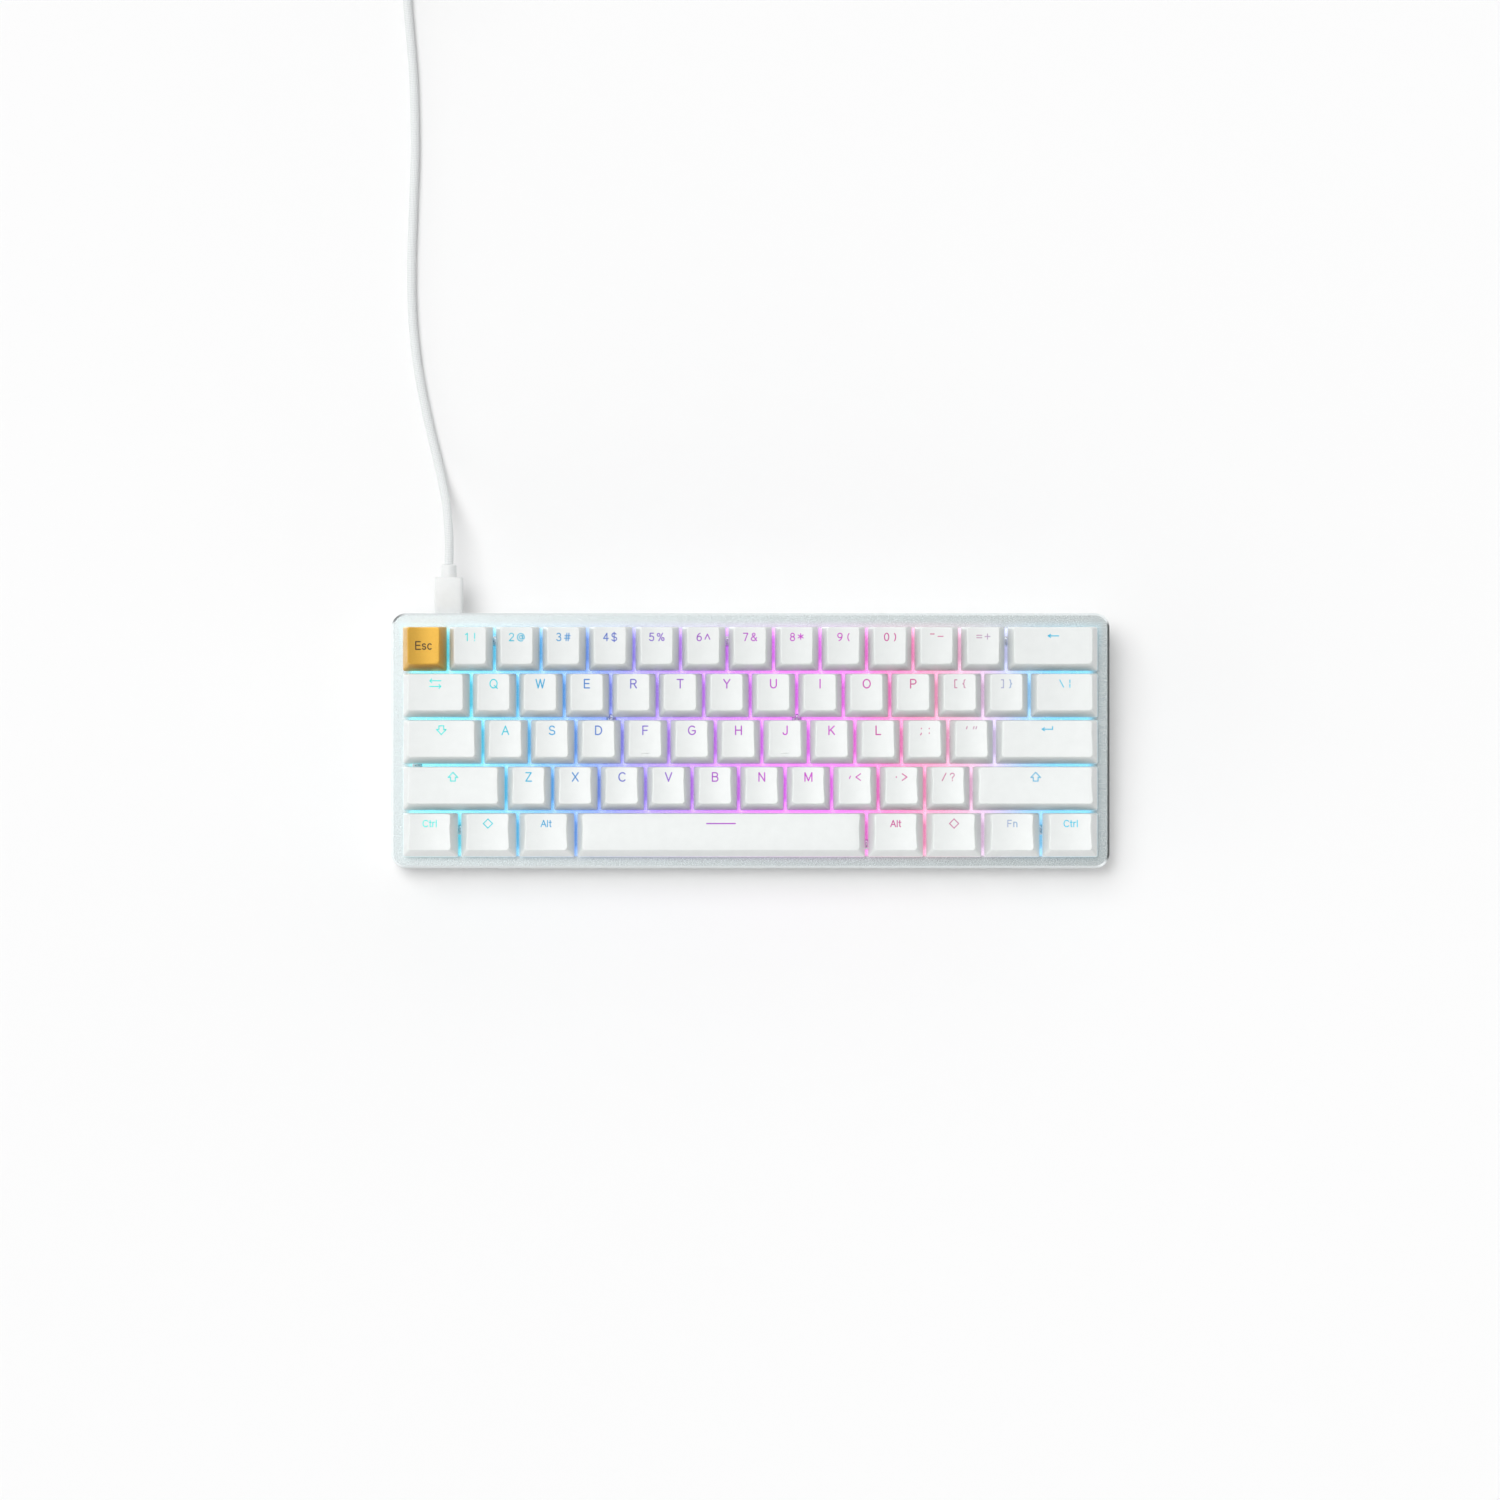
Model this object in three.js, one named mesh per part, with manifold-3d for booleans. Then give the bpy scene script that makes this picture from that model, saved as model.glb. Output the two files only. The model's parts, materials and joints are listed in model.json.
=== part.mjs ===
// A compact mechanical keyboard with 61 keys, and the lead that plugs into its back left corner.
// Millimetres, +X to the right, +Y away from the user, +Z up. The origin is on the desk, under the
// middle of the case. The plate, the switches and the keys lie in a deck that tilts towards the user.
import * as THREE from "three";
import { mergeVertices } from "three/addons/utils/BufferGeometryUtils.js";
import Module from "manifold-3d";

const wasm = await Module();
wasm.setup();

// ---- Driving dimensions ----
const UNIT = 19.05; // key pitch
const CASE = { width: 295, depth: 104, corner: 6, wall: 2.4, floor: 2.4, bevel: 1.2 };
const TILT = THREE.MathUtils.degToRad(6); // typing angle of the deck
const FRONT_HEIGHT = 11.8; // desk to the plate's top at its front edge
const GAP = 0.3; // between pieces that touch inside the tilted deck

const PLATE = { thickness: 1.6, chamfer: 0.9, cutout: 14, screwHole: 1.1 };
const BOARD = { width: 286, depth: 95, corner: 2, top: -5, thickness: 1.6, bossHole: 2.8 };
const SWITCH = {
  waist: 13.4,
  flange: 15.6,
  crownWidth: 11.2,
  crownDepth: 10.4,
  height: 6.6,
  openingWidth: 7.2,
  openingDepth: 6.4,
  pocketFloor: -4.4,
};
const CAP = {
  gap: 1,
  sideLean: 5.2,
  depthLean: 3.8,
  skew: 1,
  wall: 1.5,
  skirt: 6.2,
  corner: 1.6,
  crown: 2.4, // thickness of the top
};
const STEM = { width: 6.6, depth: 5.8, bottom: 0.2 };
const SCREW_BOSS = { radius: 2.3, pilot: 0.9, pilotDepth: 6 };
const FOOT = { length: 200, width: 10, height: 1.5, fromCentre: 41 };

const KEY_FIELD_Y = -0.6; // the key field sits a little nearer the front edge than the back
const FIELD_LEFT = -7.5 * UNIT;

// The USB socket hangs under the board, and the plug goes in along the deck.
const PORT_X = -124.2;
const SOCKET = { width: 9, height: 3.3, length: 7.6, openWidth: 8.6, openHeight: 2.7, back: 0.8 };
const PLUG_C = {
  bodyWidth: 11.7,
  bodyHeight: 6.6,
  bodyLength: 14.6,
  bodyCorner: 2.2,
  reliefRadius: 3.1,
  reliefLength: 5.4,
  shellWidth: 8.2,
  shellHeight: 2.3,
  shellLength: 6.2,
  standOff: 0.7,
};
const CABLE = { diameter: 3.7, sides: 8, step: 9 };
const COIL = { x: -117.6, y: 357, middleRadius: 22, columns: 4, layers: 3, pitch: 3.8, segments: 32 };
const PLUG_A = {
  bodyWidth: 15.6,
  bodyHeight: 7.6,
  bodyLength: 25,
  shellWidth: 12,
  shellHeight: 4.5,
  shellLength: 18.5,
  reliefRadius: 2.9,
  reliefLength: 6,
};

// ---- The key layout: name and width in units, from left to right, back row first ----
const ROWS = [
  {
    height: 11.2,
    lean: -3,
    keys: [
      ["esc", 1], ["1", 1], ["2", 1], ["3", 1], ["4", 1], ["5", 1], ["6", 1], ["7", 1],
      ["8", 1], ["9", 1], ["0", 1], ["minus", 1], ["equals", 1], ["backspace", 2],
    ],
  },
  {
    height: 9.45,
    lean: 1,
    keys: [
      ["tab", 1.5], ["q", 1], ["w", 1], ["e", 1], ["r", 1], ["t", 1], ["y", 1], ["u", 1],
      ["i", 1], ["o", 1], ["p", 1], ["left_bracket", 1], ["right_bracket", 1], ["backslash", 1.5],
    ],
  },
  {
    height: 9,
    lean: 6,
    keys: [
      ["caps_lock", 1.75], ["a", 1], ["s", 1], ["d", 1], ["f", 1], ["g", 1], ["h", 1], ["j", 1],
      ["k", 1], ["l", 1], ["semicolon", 1], ["apostrophe", 1], ["enter", 2.25],
    ],
  },
  {
    height: 9.25,
    lean: 9,
    keys: [
      ["left_shift", 2.25], ["z", 1], ["x", 1], ["c", 1], ["v", 1], ["b", 1], ["n", 1], ["m", 1],
      ["comma", 1], ["period", 1], ["slash", 1], ["right_shift", 2.75],
    ],
  },
  {
    height: 9.25,
    lean: 10,
    keys: [
      ["left_ctrl", 1.25], ["left_meta", 1.25], ["left_alt", 1.25], ["space", 6.25],
      ["right_alt", 1.25], ["right_meta", 1.25], ["fn", 1.25], ["right_ctrl", 1.25],
    ],
  },
];
// These twelve keys share one body, joined by webs between their side walls.
const JOINED = ["1", "2", "3", "4", "5", "6", "7", "8", "9", "0", "minus", "equals"];
const WEB = { depth: 3, thickness: 1.4, z: 12.6 };

// Plate screws, in gaps between switches: [x, y] on the deck.
const PLATE_SCREWS = [
  [FIELD_LEFT + 2 * UNIT, 40.8],
  [FIELD_LEFT + 7 * UNIT, 40.8],
  [FIELD_LEFT + 13 * UNIT, 40.8],
  [FIELD_LEFT + 4.5 * UNIT, KEY_FIELD_Y + UNIT / 2],
  [FIELD_LEFT + 8.5 * UNIT, KEY_FIELD_Y + UNIT / 2],
  [FIELD_LEFT + 0.32 * UNIT, KEY_FIELD_Y - UNIT / 2],
  [FIELD_LEFT + 1.25 * UNIT, -36.6],
  [FIELD_LEFT + 10 * UNIT, -42.6],
  [FIELD_LEFT + 13.75 * UNIT, -36.6],
];

// The lead's route from the plug's relief to the coil: out of the plug, down to the desk and back.
const CABLE_RADIUS = CABLE.diameter / 2;
const CABLE_ROUTE = [
  [-124.2, 82, 15.9],
  [-124.7, 90, 14.4],
  [-125.6, 98, 10.6],
  [-127.1, 106, 6.3],
  [-129.1, 115, 3.0],
  [-131.7, 125.8, CABLE_RADIUS],
  [-135.0, 140, CABLE_RADIUS],
  [-138.4, 158, CABLE_RADIUS],
  [-140.6, 178, CABLE_RADIUS],
  [-141.2, 200, CABLE_RADIUS],
  [-140.6, 225, CABLE_RADIUS],
  [-140.0, 250, CABLE_RADIUS],
  [-140.8, 279, CABLE_RADIUS],
  [-142.8, 303, CABLE_RADIUS],
  [-144.7, 326, CABLE_RADIUS],
  [-145.3, 345, CABLE_RADIUS],
];

// ---- Helpers ----

// A three.js geometry as a manifold-3d solid.
function solid(geometry) {
  const bare = geometry.index ? geometry.clone() : geometry;
  bare.deleteAttribute("normal");
  bare.deleteAttribute("uv");
  const merged = mergeVertices(bare, 1e-4);
  return new wasm.Manifold(
    new wasm.Mesh({
      numProp: 3,
      vertProperties: merged.attributes.position.array,
      triVerts: new Uint32Array(merged.index.array),
    }),
  );
}

// A manifold-3d solid as a three.js geometry.
function geometryOf(made) {
  const mesh = made.getMesh();
  const geometry = new THREE.BufferGeometry();
  geometry.setAttribute("position", new THREE.BufferAttribute(mesh.vertProperties, 3));
  geometry.setIndex(new THREE.BufferAttribute(mesh.triVerts, 1));
  const flat = geometry.toNonIndexed();
  flat.computeVertexNormals();
  return flat;
}

function box(width, depth, low, high, x = 0, y = 0) {
  return new THREE.BoxGeometry(width, depth, high - low).translate(x, y, (low + high) / 2);
}

// An upright cylinder from low to high.
function post(radius, low, high, sides, x = 0, y = 0) {
  return new THREE.CylinderGeometry(radius, radius, high - low, sides)
    .rotateX(Math.PI / 2)
    .translate(x, y, (low + high) / 2);
}

function roundedRect(width, depth, radius) {
  const [w, d] = [width / 2 - radius, depth / 2 - radius];
  const shape = new THREE.Shape();
  shape.absarc(w, d, radius, 0, Math.PI / 2);
  shape.absarc(-w, d, radius, Math.PI / 2, Math.PI);
  shape.absarc(-w, -d, radius, Math.PI, 1.5 * Math.PI);
  shape.absarc(w, -d, radius, 1.5 * Math.PI, 2 * Math.PI);
  return shape;
}

function rect(width, depth) {
  const [w, d] = [width / 2, depth / 2];
  return new THREE.Shape([
    new THREE.Vector2(w, d),
    new THREE.Vector2(-w, d),
    new THREE.Vector2(-w, -d),
    new THREE.Vector2(w, -d),
  ]);
}

function slab(width, depth, radius, low, high, curveSegments) {
  const shape = roundedRect(width, depth, radius);
  const options = { depth: high - low, bevelEnabled: false, curveSegments };
  return new THREE.ExtrudeGeometry(shape, options).translate(0, 0, low);
}

// A solid whose cross-section changes with height. Each level is a function of a point of the base
// outline, and gives the point at that level.
function loft(outline, levels) {
  const geometry = new THREE.ExtrudeGeometry(outline, {
    depth: levels.length - 1,
    steps: levels.length - 1,
    bevelEnabled: false,
    curveSegments: 1,
  });
  const points = geometry.getAttribute("position");
  for (let i = 0; i < points.count; i++) {
    const level = levels[Math.round(points.getZ(i))];
    points.setXYZ(i, ...level(points.getX(i), points.getY(i)));
  }
  return geometry;
}

function material(color, roughness, metalness = 0) {
  return new THREE.MeshStandardMaterial({ color, roughness, metalness });
}

function mesh(name, geometry, look) {
  const made = new THREE.Mesh(geometry, look);
  made.name = name;
  return made;
}

const LOOKS = {
  plate: material(0xc9d0d2, 0.4, 0.9),
  shell: material(0xe9ebec, 0.5),
  board: material(0xf1f1ee, 0.6),
  metal: material(0xb9bcc0, 0.3, 1),
  rubber: material(0x3a3a3c, 0.9),
  lead: material(0xe8eaea, 0.55),
  keycap: material(0xf0f1f0, 0.45),
  accentKeycap: material(0xe0a63a, 0.45),
};

// ---- The deck: everything square to the plate. Its origin is the middle of the plate's top. ----
const DECK_HEIGHT = FRONT_HEIGHT + (CASE.depth / 2) * Math.tan(TILT);
const DECK_DEPTH = CASE.depth / Math.cos(TILT);
const deck = new THREE.Group();
deck.rotation.x = TILT;
deck.position.z = DECK_HEIGHT;
deck.updateMatrixWorld(true);

// Each key with its place on the deck.
const keys = ROWS.flatMap((row, r) => {
  let left = FIELD_LEFT;
  return row.keys.map(([name, units]) => {
    const x = left + (units * UNIT) / 2;
    left += units * UNIT;
    return { name, x, y: KEY_FIELD_Y + (2 - r) * UNIT, width: units * UNIT - CAP.gap, ...row };
  });
});

// ---- Plate: sand-blasted aluminium, with a bright chamfer round its top edge ----
function plate() {
  const outer = roundedRect(
    CASE.width - 2 * PLATE.chamfer,
    DECK_DEPTH - 2 * PLATE.chamfer,
    CASE.corner - PLATE.chamfer,
  );
  const body = solid(
    new THREE.ExtrudeGeometry(outer, {
      depth: PLATE.thickness - PLATE.chamfer,
      bevelThickness: PLATE.chamfer,
      bevelSize: PLATE.chamfer,
      bevelSegments: 1,
      curveSegments: 5,
    }).translate(0, 0, -PLATE.thickness),
  );
  const below = solid(box(CASE.width + 2, DECK_DEPTH + 2, -PLATE.thickness - 2, -PLATE.thickness));
  const cutouts = keys.map((k) =>
    solid(box(PLATE.cutout, PLATE.cutout, -PLATE.thickness - 1, 1, k.x, k.y)),
  );
  const screwHoles = PLATE_SCREWS.map(([x, y]) =>
    solid(post(PLATE.screwHole, -PLATE.thickness - 1, 1, 6, x, y)),
  );
  const skirt = solid(
    slab(CASE.width, DECK_DEPTH, CASE.corner, -PLATE.thickness, -PLATE.chamfer, 5),
  );
  const holes = wasm.Manifold.union([below, ...cutouts, ...screwHoles]);
  return mesh("top_plate", geometryOf(body.add(skirt).subtract(holes)), LOOKS.plate);
}

// ---- Circuit board with the switch housings that are soldered to it ----
function switchHousing(x, y) {
  const low = BOARD.top - 0.4;
  const waist = solid(box(SWITCH.waist, SWITCH.waist, low, 2 * GAP));
  const half = SWITCH.flange / 2;
  const crown = solid(
    new THREE.BoxGeometry(SWITCH.flange, SWITCH.flange, SWITCH.height - GAP).translate(
      0,
      0,
      (SWITCH.height + GAP) / 2,
    ),
  ).warp((p) => {
    if (p[2] > GAP + 1) {
      p[0] *= SWITCH.crownWidth / 2 / half;
      p[1] *= SWITCH.crownDepth / 2 / half;
    }
  });
  const opening = solid(
    box(SWITCH.openingWidth, SWITCH.openingDepth, SWITCH.pocketFloor, SWITCH.height + 1),
  );
  return waist.add(crown).subtract(opening).translate([x, y, 0]);
}

function circuitBoard() {
  const bottom = BOARD.top - BOARD.thickness;
  const board = solid(slab(BOARD.width, BOARD.depth, BOARD.corner, bottom, BOARD.top, 2));
  const bossHoles = PLATE_SCREWS.map(([x, y]) =>
    solid(post(BOARD.bossHole, bottom - 1, BOARD.top + 1, 6, x, y)),
  );
  const pierced = board.subtract(wasm.Manifold.union(bossHoles));
  const housings = keys.map((k) => switchHousing(k.x, k.y));
  const whole = wasm.Manifold.union([pierced, ...housings]);
  return mesh("circuit_board_with_switches", geometryOf(whole), LOOKS.board);
}

// ---- Keys: a keycap with the switch stem that it is pressed onto ----
function keycapSolid({ width, height, lean, x, y }) {
  const depth = UNIT - CAP.gap;
  const slope = Math.tan(THREE.MathUtils.degToRad(lean));
  // One level of a tapering shell: share is how far the taper has gone, rise the height at its middle.
  const level = (w, share, rise, follow) => (px, py) => {
    const tx = px * (1 - (share * CAP.sideLean) / w);
    const ty = py * (1 - (share * CAP.depthLean) / depth);
    return [tx, ty + share * CAP.skew, CAP.skirt + rise - (follow ? ty * slope : 0)];
  };
  const outer = loft(roundedRect(width, depth, CAP.corner), [
    level(width, 0, 0, false),
    level(width, 1, height, true),
  ]);
  const inWidth = width - 2 * CAP.wall;
  const inner = loft(rect(inWidth, depth - 2 * CAP.wall), [
    level(inWidth, 0, -1, false),
    level(inWidth, 0.85, height - CAP.crown, true),
  ]);
  const shell = solid(outer).subtract(solid(inner));
  const stem = solid(box(STEM.width, STEM.depth, STEM.bottom, CAP.skirt + height - CAP.crown / 2));
  return shell.add(stem).translate([x, y, 0]);
}

function keyMeshes() {
  const alone = keys.filter((k) => !JOINED.includes(k.name));
  const made = alone.map((k) => {
    const look = k.name === "esc" ? LOOKS.accentKeycap : LOOKS.keycap;
    return mesh(`key_${k.name}`, geometryOf(keycapSolid(k)), look);
  });
  const joined = keys.filter((k) => JOINED.includes(k.name));
  const webs = joined.slice(1).map((k) => {
    const between = k.x - UNIT / 2;
    return solid(box(CAP.gap + 5, WEB.depth, WEB.z, WEB.z + WEB.thickness, between, k.y + CAP.skew));
  });
  const row = wasm.Manifold.union([...joined.map(keycapSolid), ...webs]);
  return [...made, mesh("number_row_keys", geometryOf(row), LOOKS.keycap)];
}

// ---- USB socket under the board, and the plug in it ----
const PORT_Z = BOARD.top - BOARD.thickness - GAP - SOCKET.height / 2; // on the deck
const REAR_WALL_Y = (CASE.depth / 2 + PORT_Z * Math.sin(TILT)) / Math.cos(TILT); // on the deck

function socket() {
  const back = REAR_WALL_Y - SOCKET.back;
  const shell = solid(
    new THREE.BoxGeometry(SOCKET.width, SOCKET.length, SOCKET.height).translate(
      PORT_X,
      back - SOCKET.length / 2,
      PORT_Z,
    ),
  );
  const mouth = solid(
    new THREE.BoxGeometry(SOCKET.openWidth, SOCKET.length, SOCKET.openHeight).translate(
      PORT_X,
      back - SOCKET.length / 2 + 0.6,
      PORT_Z,
    ),
  );
  return mesh("usb_c_socket", geometryOf(shell.subtract(mouth)), LOOKS.metal);
}

// A plug along +Y from y = 0: its metal shell, its moulded body and its relief.
function plugSolid(p, corner) {
  const body = new THREE.ExtrudeGeometry(roundedRect(p.bodyWidth, p.bodyHeight, corner), {
    depth: p.bodyLength,
    bevelEnabled: false,
    curveSegments: 3,
  }).rotateX(-Math.PI / 2);
  const shell = new THREE.BoxGeometry(p.shellWidth, p.shellLength + 1, p.shellHeight);
  shell.translate(0, -(p.shellLength - 1) / 2, 0);
  const relief = new THREE.CylinderGeometry(p.reliefRadius, p.reliefRadius, p.reliefLength + 1, 12);
  relief.translate(0, p.bodyLength + (p.reliefLength - 1) / 2, 0);
  return solid(body).add(solid(shell)).add(solid(relief));
}

function plugC() {
  const made = plugSolid(PLUG_C, PLUG_C.bodyCorner);
  const plug = mesh("usb_c_plug", geometryOf(made), LOOKS.lead);
  plug.position.set(PORT_X, REAR_WALL_Y + PLUG_C.standOff, PORT_Z);
  return plug;
}

// ---- Case: a tray with a sloping rim, screw bosses and an opening for the socket ----
function bottomCase() {
  const tall = DECK_HEIGHT + 20;
  const outerShape = roundedRect(
    CASE.width - 2 * CASE.bevel,
    CASE.depth - 2 * CASE.bevel,
    CASE.corner - CASE.bevel,
  );
  const outer = new THREE.ExtrudeGeometry(outerShape, {
    depth: tall,
    bevelThickness: CASE.bevel,
    bevelSize: CASE.bevel,
    bevelSegments: 1,
    curveSegments: 5,
  }).translate(0, 0, FOOT.height + CASE.bevel);
  const [innerWidth, innerDepth] = [CASE.width - 2 * CASE.wall, CASE.depth - 2 * CASE.wall];
  const floor = FOOT.height + CASE.floor;
  const inner = slab(innerWidth, innerDepth, CASE.corner - CASE.wall, floor, tall + 20, 3);
  const rim = -PLATE.thickness - GAP; // on the deck
  const onDeck = (geometry) => solid(geometry.applyMatrix4(deck.matrixWorld));
  const above = onDeck(box(CASE.width + 40, CASE.depth + 60, rim, rim + 80));
  const bosses = PLATE_SCREWS.map(([x, y]) => onDeck(post(SCREW_BOSS.radius, -40, rim, 6, x, y)));
  const pilots = PLATE_SCREWS.map(([x, y]) =>
    onDeck(post(SCREW_BOSS.pilot, rim - SCREW_BOSS.pilotDepth, rim + 1, 6, x, y)),
  );
  const port = onDeck(
    new THREE.BoxGeometry(SOCKET.width + 1, 12, SOCKET.height + 1).translate(
      PORT_X,
      REAR_WALL_Y,
      PORT_Z,
    ),
  );
  const body = solid(outer);
  const kept = wasm.Manifold.union(bosses).intersect(body);
  const tray = body.subtract(solid(inner)).add(kept);
  const cuts = wasm.Manifold.union([above, port, ...pilots]);
  return mesh("bottom_case", geometryOf(tray.subtract(cuts)), LOOKS.shell);
}

function foot(name, y) {
  const strip = slab(FOOT.length, FOOT.width, FOOT.width / 2, 0, FOOT.height, 4);
  return mesh(name, strip.translate(0, y, 0), LOOKS.rubber);
}

// ---- The lead: a stretch that lies on the desk, a coil, and the plug lying on the coil ----
const COIL_HALF = (COIL.columns * COIL.pitch) / 2;

function coilRing(grow = 0) {
  const [low, high] = [COIL.middleRadius - COIL_HALF - grow, COIL.middleRadius + COIL_HALF + grow];
  const height = COIL.layers * COIL.pitch;
  const profile = [
    [low, -grow],
    [high, -grow],
    [high, height + grow],
    [low, height + grow],
    [low, -grow],
  ].map(([r, z]) => new THREE.Vector2(r, z));
  return new THREE.LatheGeometry(profile, COIL.segments).rotateX(Math.PI / 2).translate(
    COIL.x,
    COIL.y,
    0,
  );
}

function cable() {
  const start = new THREE.Vector3(
    PORT_X,
    REAR_WALL_Y + PLUG_C.standOff + PLUG_C.bodyLength + PLUG_C.reliefLength + GAP,
    PORT_Z,
  );
  deck.localToWorld(start);
  const route = [start, ...CABLE_ROUTE.map((p) => new THREE.Vector3(...p))];
  const path = new THREE.CatmullRomCurve3(route);
  const section = new THREE.Shape(
    Array.from({ length: CABLE.sides }, (_, i) => {
      const turn = (i * 2 * Math.PI) / CABLE.sides + Math.PI / CABLE.sides;
      return new THREE.Vector2(Math.cos(turn), Math.sin(turn)).multiplyScalar(CABLE_RADIUS);
    }),
  );
  const steps = Math.round(path.getLength() / CABLE.step);
  const tube = new THREE.ExtrudeGeometry(section, { steps, extrudePath: path });
  const cut = solid(tube).subtract(solid(coilRing(GAP)));
  return mesh("cable", geometryOf(cut), LOOKS.lead);
}

// This plug lies on the coil's left side, over its innermost turn, and points away from the keyboard.
function plugA() {
  const plug = mesh("usb_a_plug", geometryOf(plugSolid(PLUG_A, 2.4)), LOOKS.lead);
  const innermost = COIL.middleRadius - ((COIL.columns - 1) * COIL.pitch) / 2;
  plug.rotation.z = Math.PI;
  plug.position.set(
    COIL.x - innermost,
    COIL.y + PLUG_A.reliefLength + PLUG_A.bodyLength,
    COIL.layers * COIL.pitch + GAP + PLUG_A.bodyHeight / 2,
  );
  return plug;
}

// ---- Assembly ----
deck.add(plate(), circuitBoard(), ...keyMeshes(), socket(), plugC());

const keyboard = new THREE.Group();
keyboard.add(
  deck,
  bottomCase(),
  foot("front_foot", -FOOT.fromCentre),
  foot("rear_foot", FOOT.fromCentre),
  cable(),
  mesh("cable_coil", coilRing(), LOOKS.lead),
  plugA(),
);
export default keyboard;
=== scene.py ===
"""The looks of a compact mechanical keyboard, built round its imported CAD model.

Places are in the CAD's frame. Sizes are in millimetres until a mesh is finished, when MM scales it to
metres. Most pieces are made flat in the deck's frame, whose origin is the middle of the plate's top
and whose Z is square to the plate, and are then tilted into place.
"""

import json
import math

import bpy
from mathutils import Matrix, Vector


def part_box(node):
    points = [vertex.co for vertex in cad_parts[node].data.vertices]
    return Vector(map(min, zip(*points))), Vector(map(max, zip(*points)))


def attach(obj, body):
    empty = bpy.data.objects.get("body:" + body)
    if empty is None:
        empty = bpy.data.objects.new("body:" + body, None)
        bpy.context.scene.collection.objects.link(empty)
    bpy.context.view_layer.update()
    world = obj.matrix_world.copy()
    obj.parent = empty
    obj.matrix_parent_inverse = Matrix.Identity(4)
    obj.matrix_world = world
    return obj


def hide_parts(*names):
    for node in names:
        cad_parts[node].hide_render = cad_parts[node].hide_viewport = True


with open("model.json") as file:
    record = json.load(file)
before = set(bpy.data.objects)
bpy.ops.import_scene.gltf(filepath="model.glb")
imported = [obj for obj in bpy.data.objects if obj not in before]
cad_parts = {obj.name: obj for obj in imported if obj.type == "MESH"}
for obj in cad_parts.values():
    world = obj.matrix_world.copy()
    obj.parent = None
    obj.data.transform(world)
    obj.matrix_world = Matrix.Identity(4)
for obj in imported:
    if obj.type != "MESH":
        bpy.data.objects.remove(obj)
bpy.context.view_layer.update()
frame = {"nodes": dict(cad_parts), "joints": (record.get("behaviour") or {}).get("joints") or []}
MM = 0.001

# ---- Driving dimensions, in millimetres ----
UNIT = 19.05
PLATE_DEPTH, PLATE_CORNER, PLATE_THICKNESS, PLATE_CHAMFER, CHAMFER_DROP = 104.57, 6.0, 1.6, 0.9, 0.72
CASE_WALL, CASE_FLOOR, CASE_SEAM, FOOT_HEIGHT = 2.4, 2.4, 0.3, 1.5
CASE_DRAFT, CASE_EDGE = 1.0, 2.2  # how far the walls lean in, and the radius of their lower edge
KEY_FIELD_Y = -0.6
FIELD_LEFT = -7.5 * UNIT
FIELD_HALF_DEPTH = 2.5 * UNIT
SWITCH_HOLE, SCREW_HOLE_RADIUS = 14.0, 1.1

CAP_GAP, CAP_DEPTH_LEAN, CAP_SKEW = 1.0, 3.2, 1.3
CAP_SKIRT = 6.2  # height of the skirt's lower edge over the plate
CAP_WALL, CAP_CROWN = 1.4, 2.3
CAP_BASE_CORNER, CAP_TOP_CORNER, CAP_FILLET = 0.7, 1.4, 0.3
CAP_DISH, SPACE_CROWN, SPACE_SIDE_LEAN = 0.62, 0.55, 5.3
STEM_HOLE, STEM = (7.2, 6.4), (6.5, 5.7)
HOUSING_TOP, WELL_FLOOR = 6.6, -3.9
BOARD_WIDTH, BOARD_DEPTH, BOARD_TOP, BOARD_THICKNESS = 286.0, 95.0, -5.0, 1.6
STABILISED_UNITS = 2  # caps at least this wide have stabilisers
STABILISER_REACH, SPACE_REACH = 11.94, 50.0  # from a wide cap's middle to its outer stems

PORT_X = -124.2
SOCKET_HEIGHT = 3.3
PLUG_STAND_OFF, PLUG_BODY, PLUG_RELIEF = 0.7, 14.6, 5.4
CABLE_DIAMETER = 3.7
COIL_X, COIL_Y, COIL_RADIUS, COIL_COLUMNS, COIL_LAYERS, COIL_PITCH = -117.6, 357, 22, 4, 3, 3.8
COIL_TURNS = 11

# ---- The deck ----
press_axis = Vector(frame["joints"][0]["axis"])
TILT = math.atan2(press_axis.y, -press_axis.z)
plate_low, plate_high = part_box("top_plate")
DECK_HEIGHT = plate_high.z / MM - (PLATE_DEPTH / 2 - PLATE_CHAMFER) * math.sin(TILT)
DECK = Matrix.Translation((0, 0, DECK_HEIGHT)) @ Matrix.Rotation(TILT, 4, "X")
DESK = Matrix.Identity(4)  # for pieces that are made where they stand
CASE_WIDTH = (plate_high.x - plate_low.x) / MM
CASE_DEPTH = PLATE_DEPTH * math.cos(TILT)
PORT_Z = BOARD_TOP - BOARD_THICKNESS - 0.3 - SOCKET_HEIGHT / 2
REAR_WALL_Y = (CASE_DEPTH / 2 + PORT_Z * math.sin(TILT)) / math.cos(TILT)
PLUG_PLACE = DECK @ Matrix.Translation((PORT_X, REAR_WALL_Y + PLUG_STAND_OFF, PORT_Z))
CABLE_START = PLUG_PLACE @ Vector((0, PLUG_BODY + PLUG_RELIEF + 0.3, 0))
BOTTOM = "keyboard_body"

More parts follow.
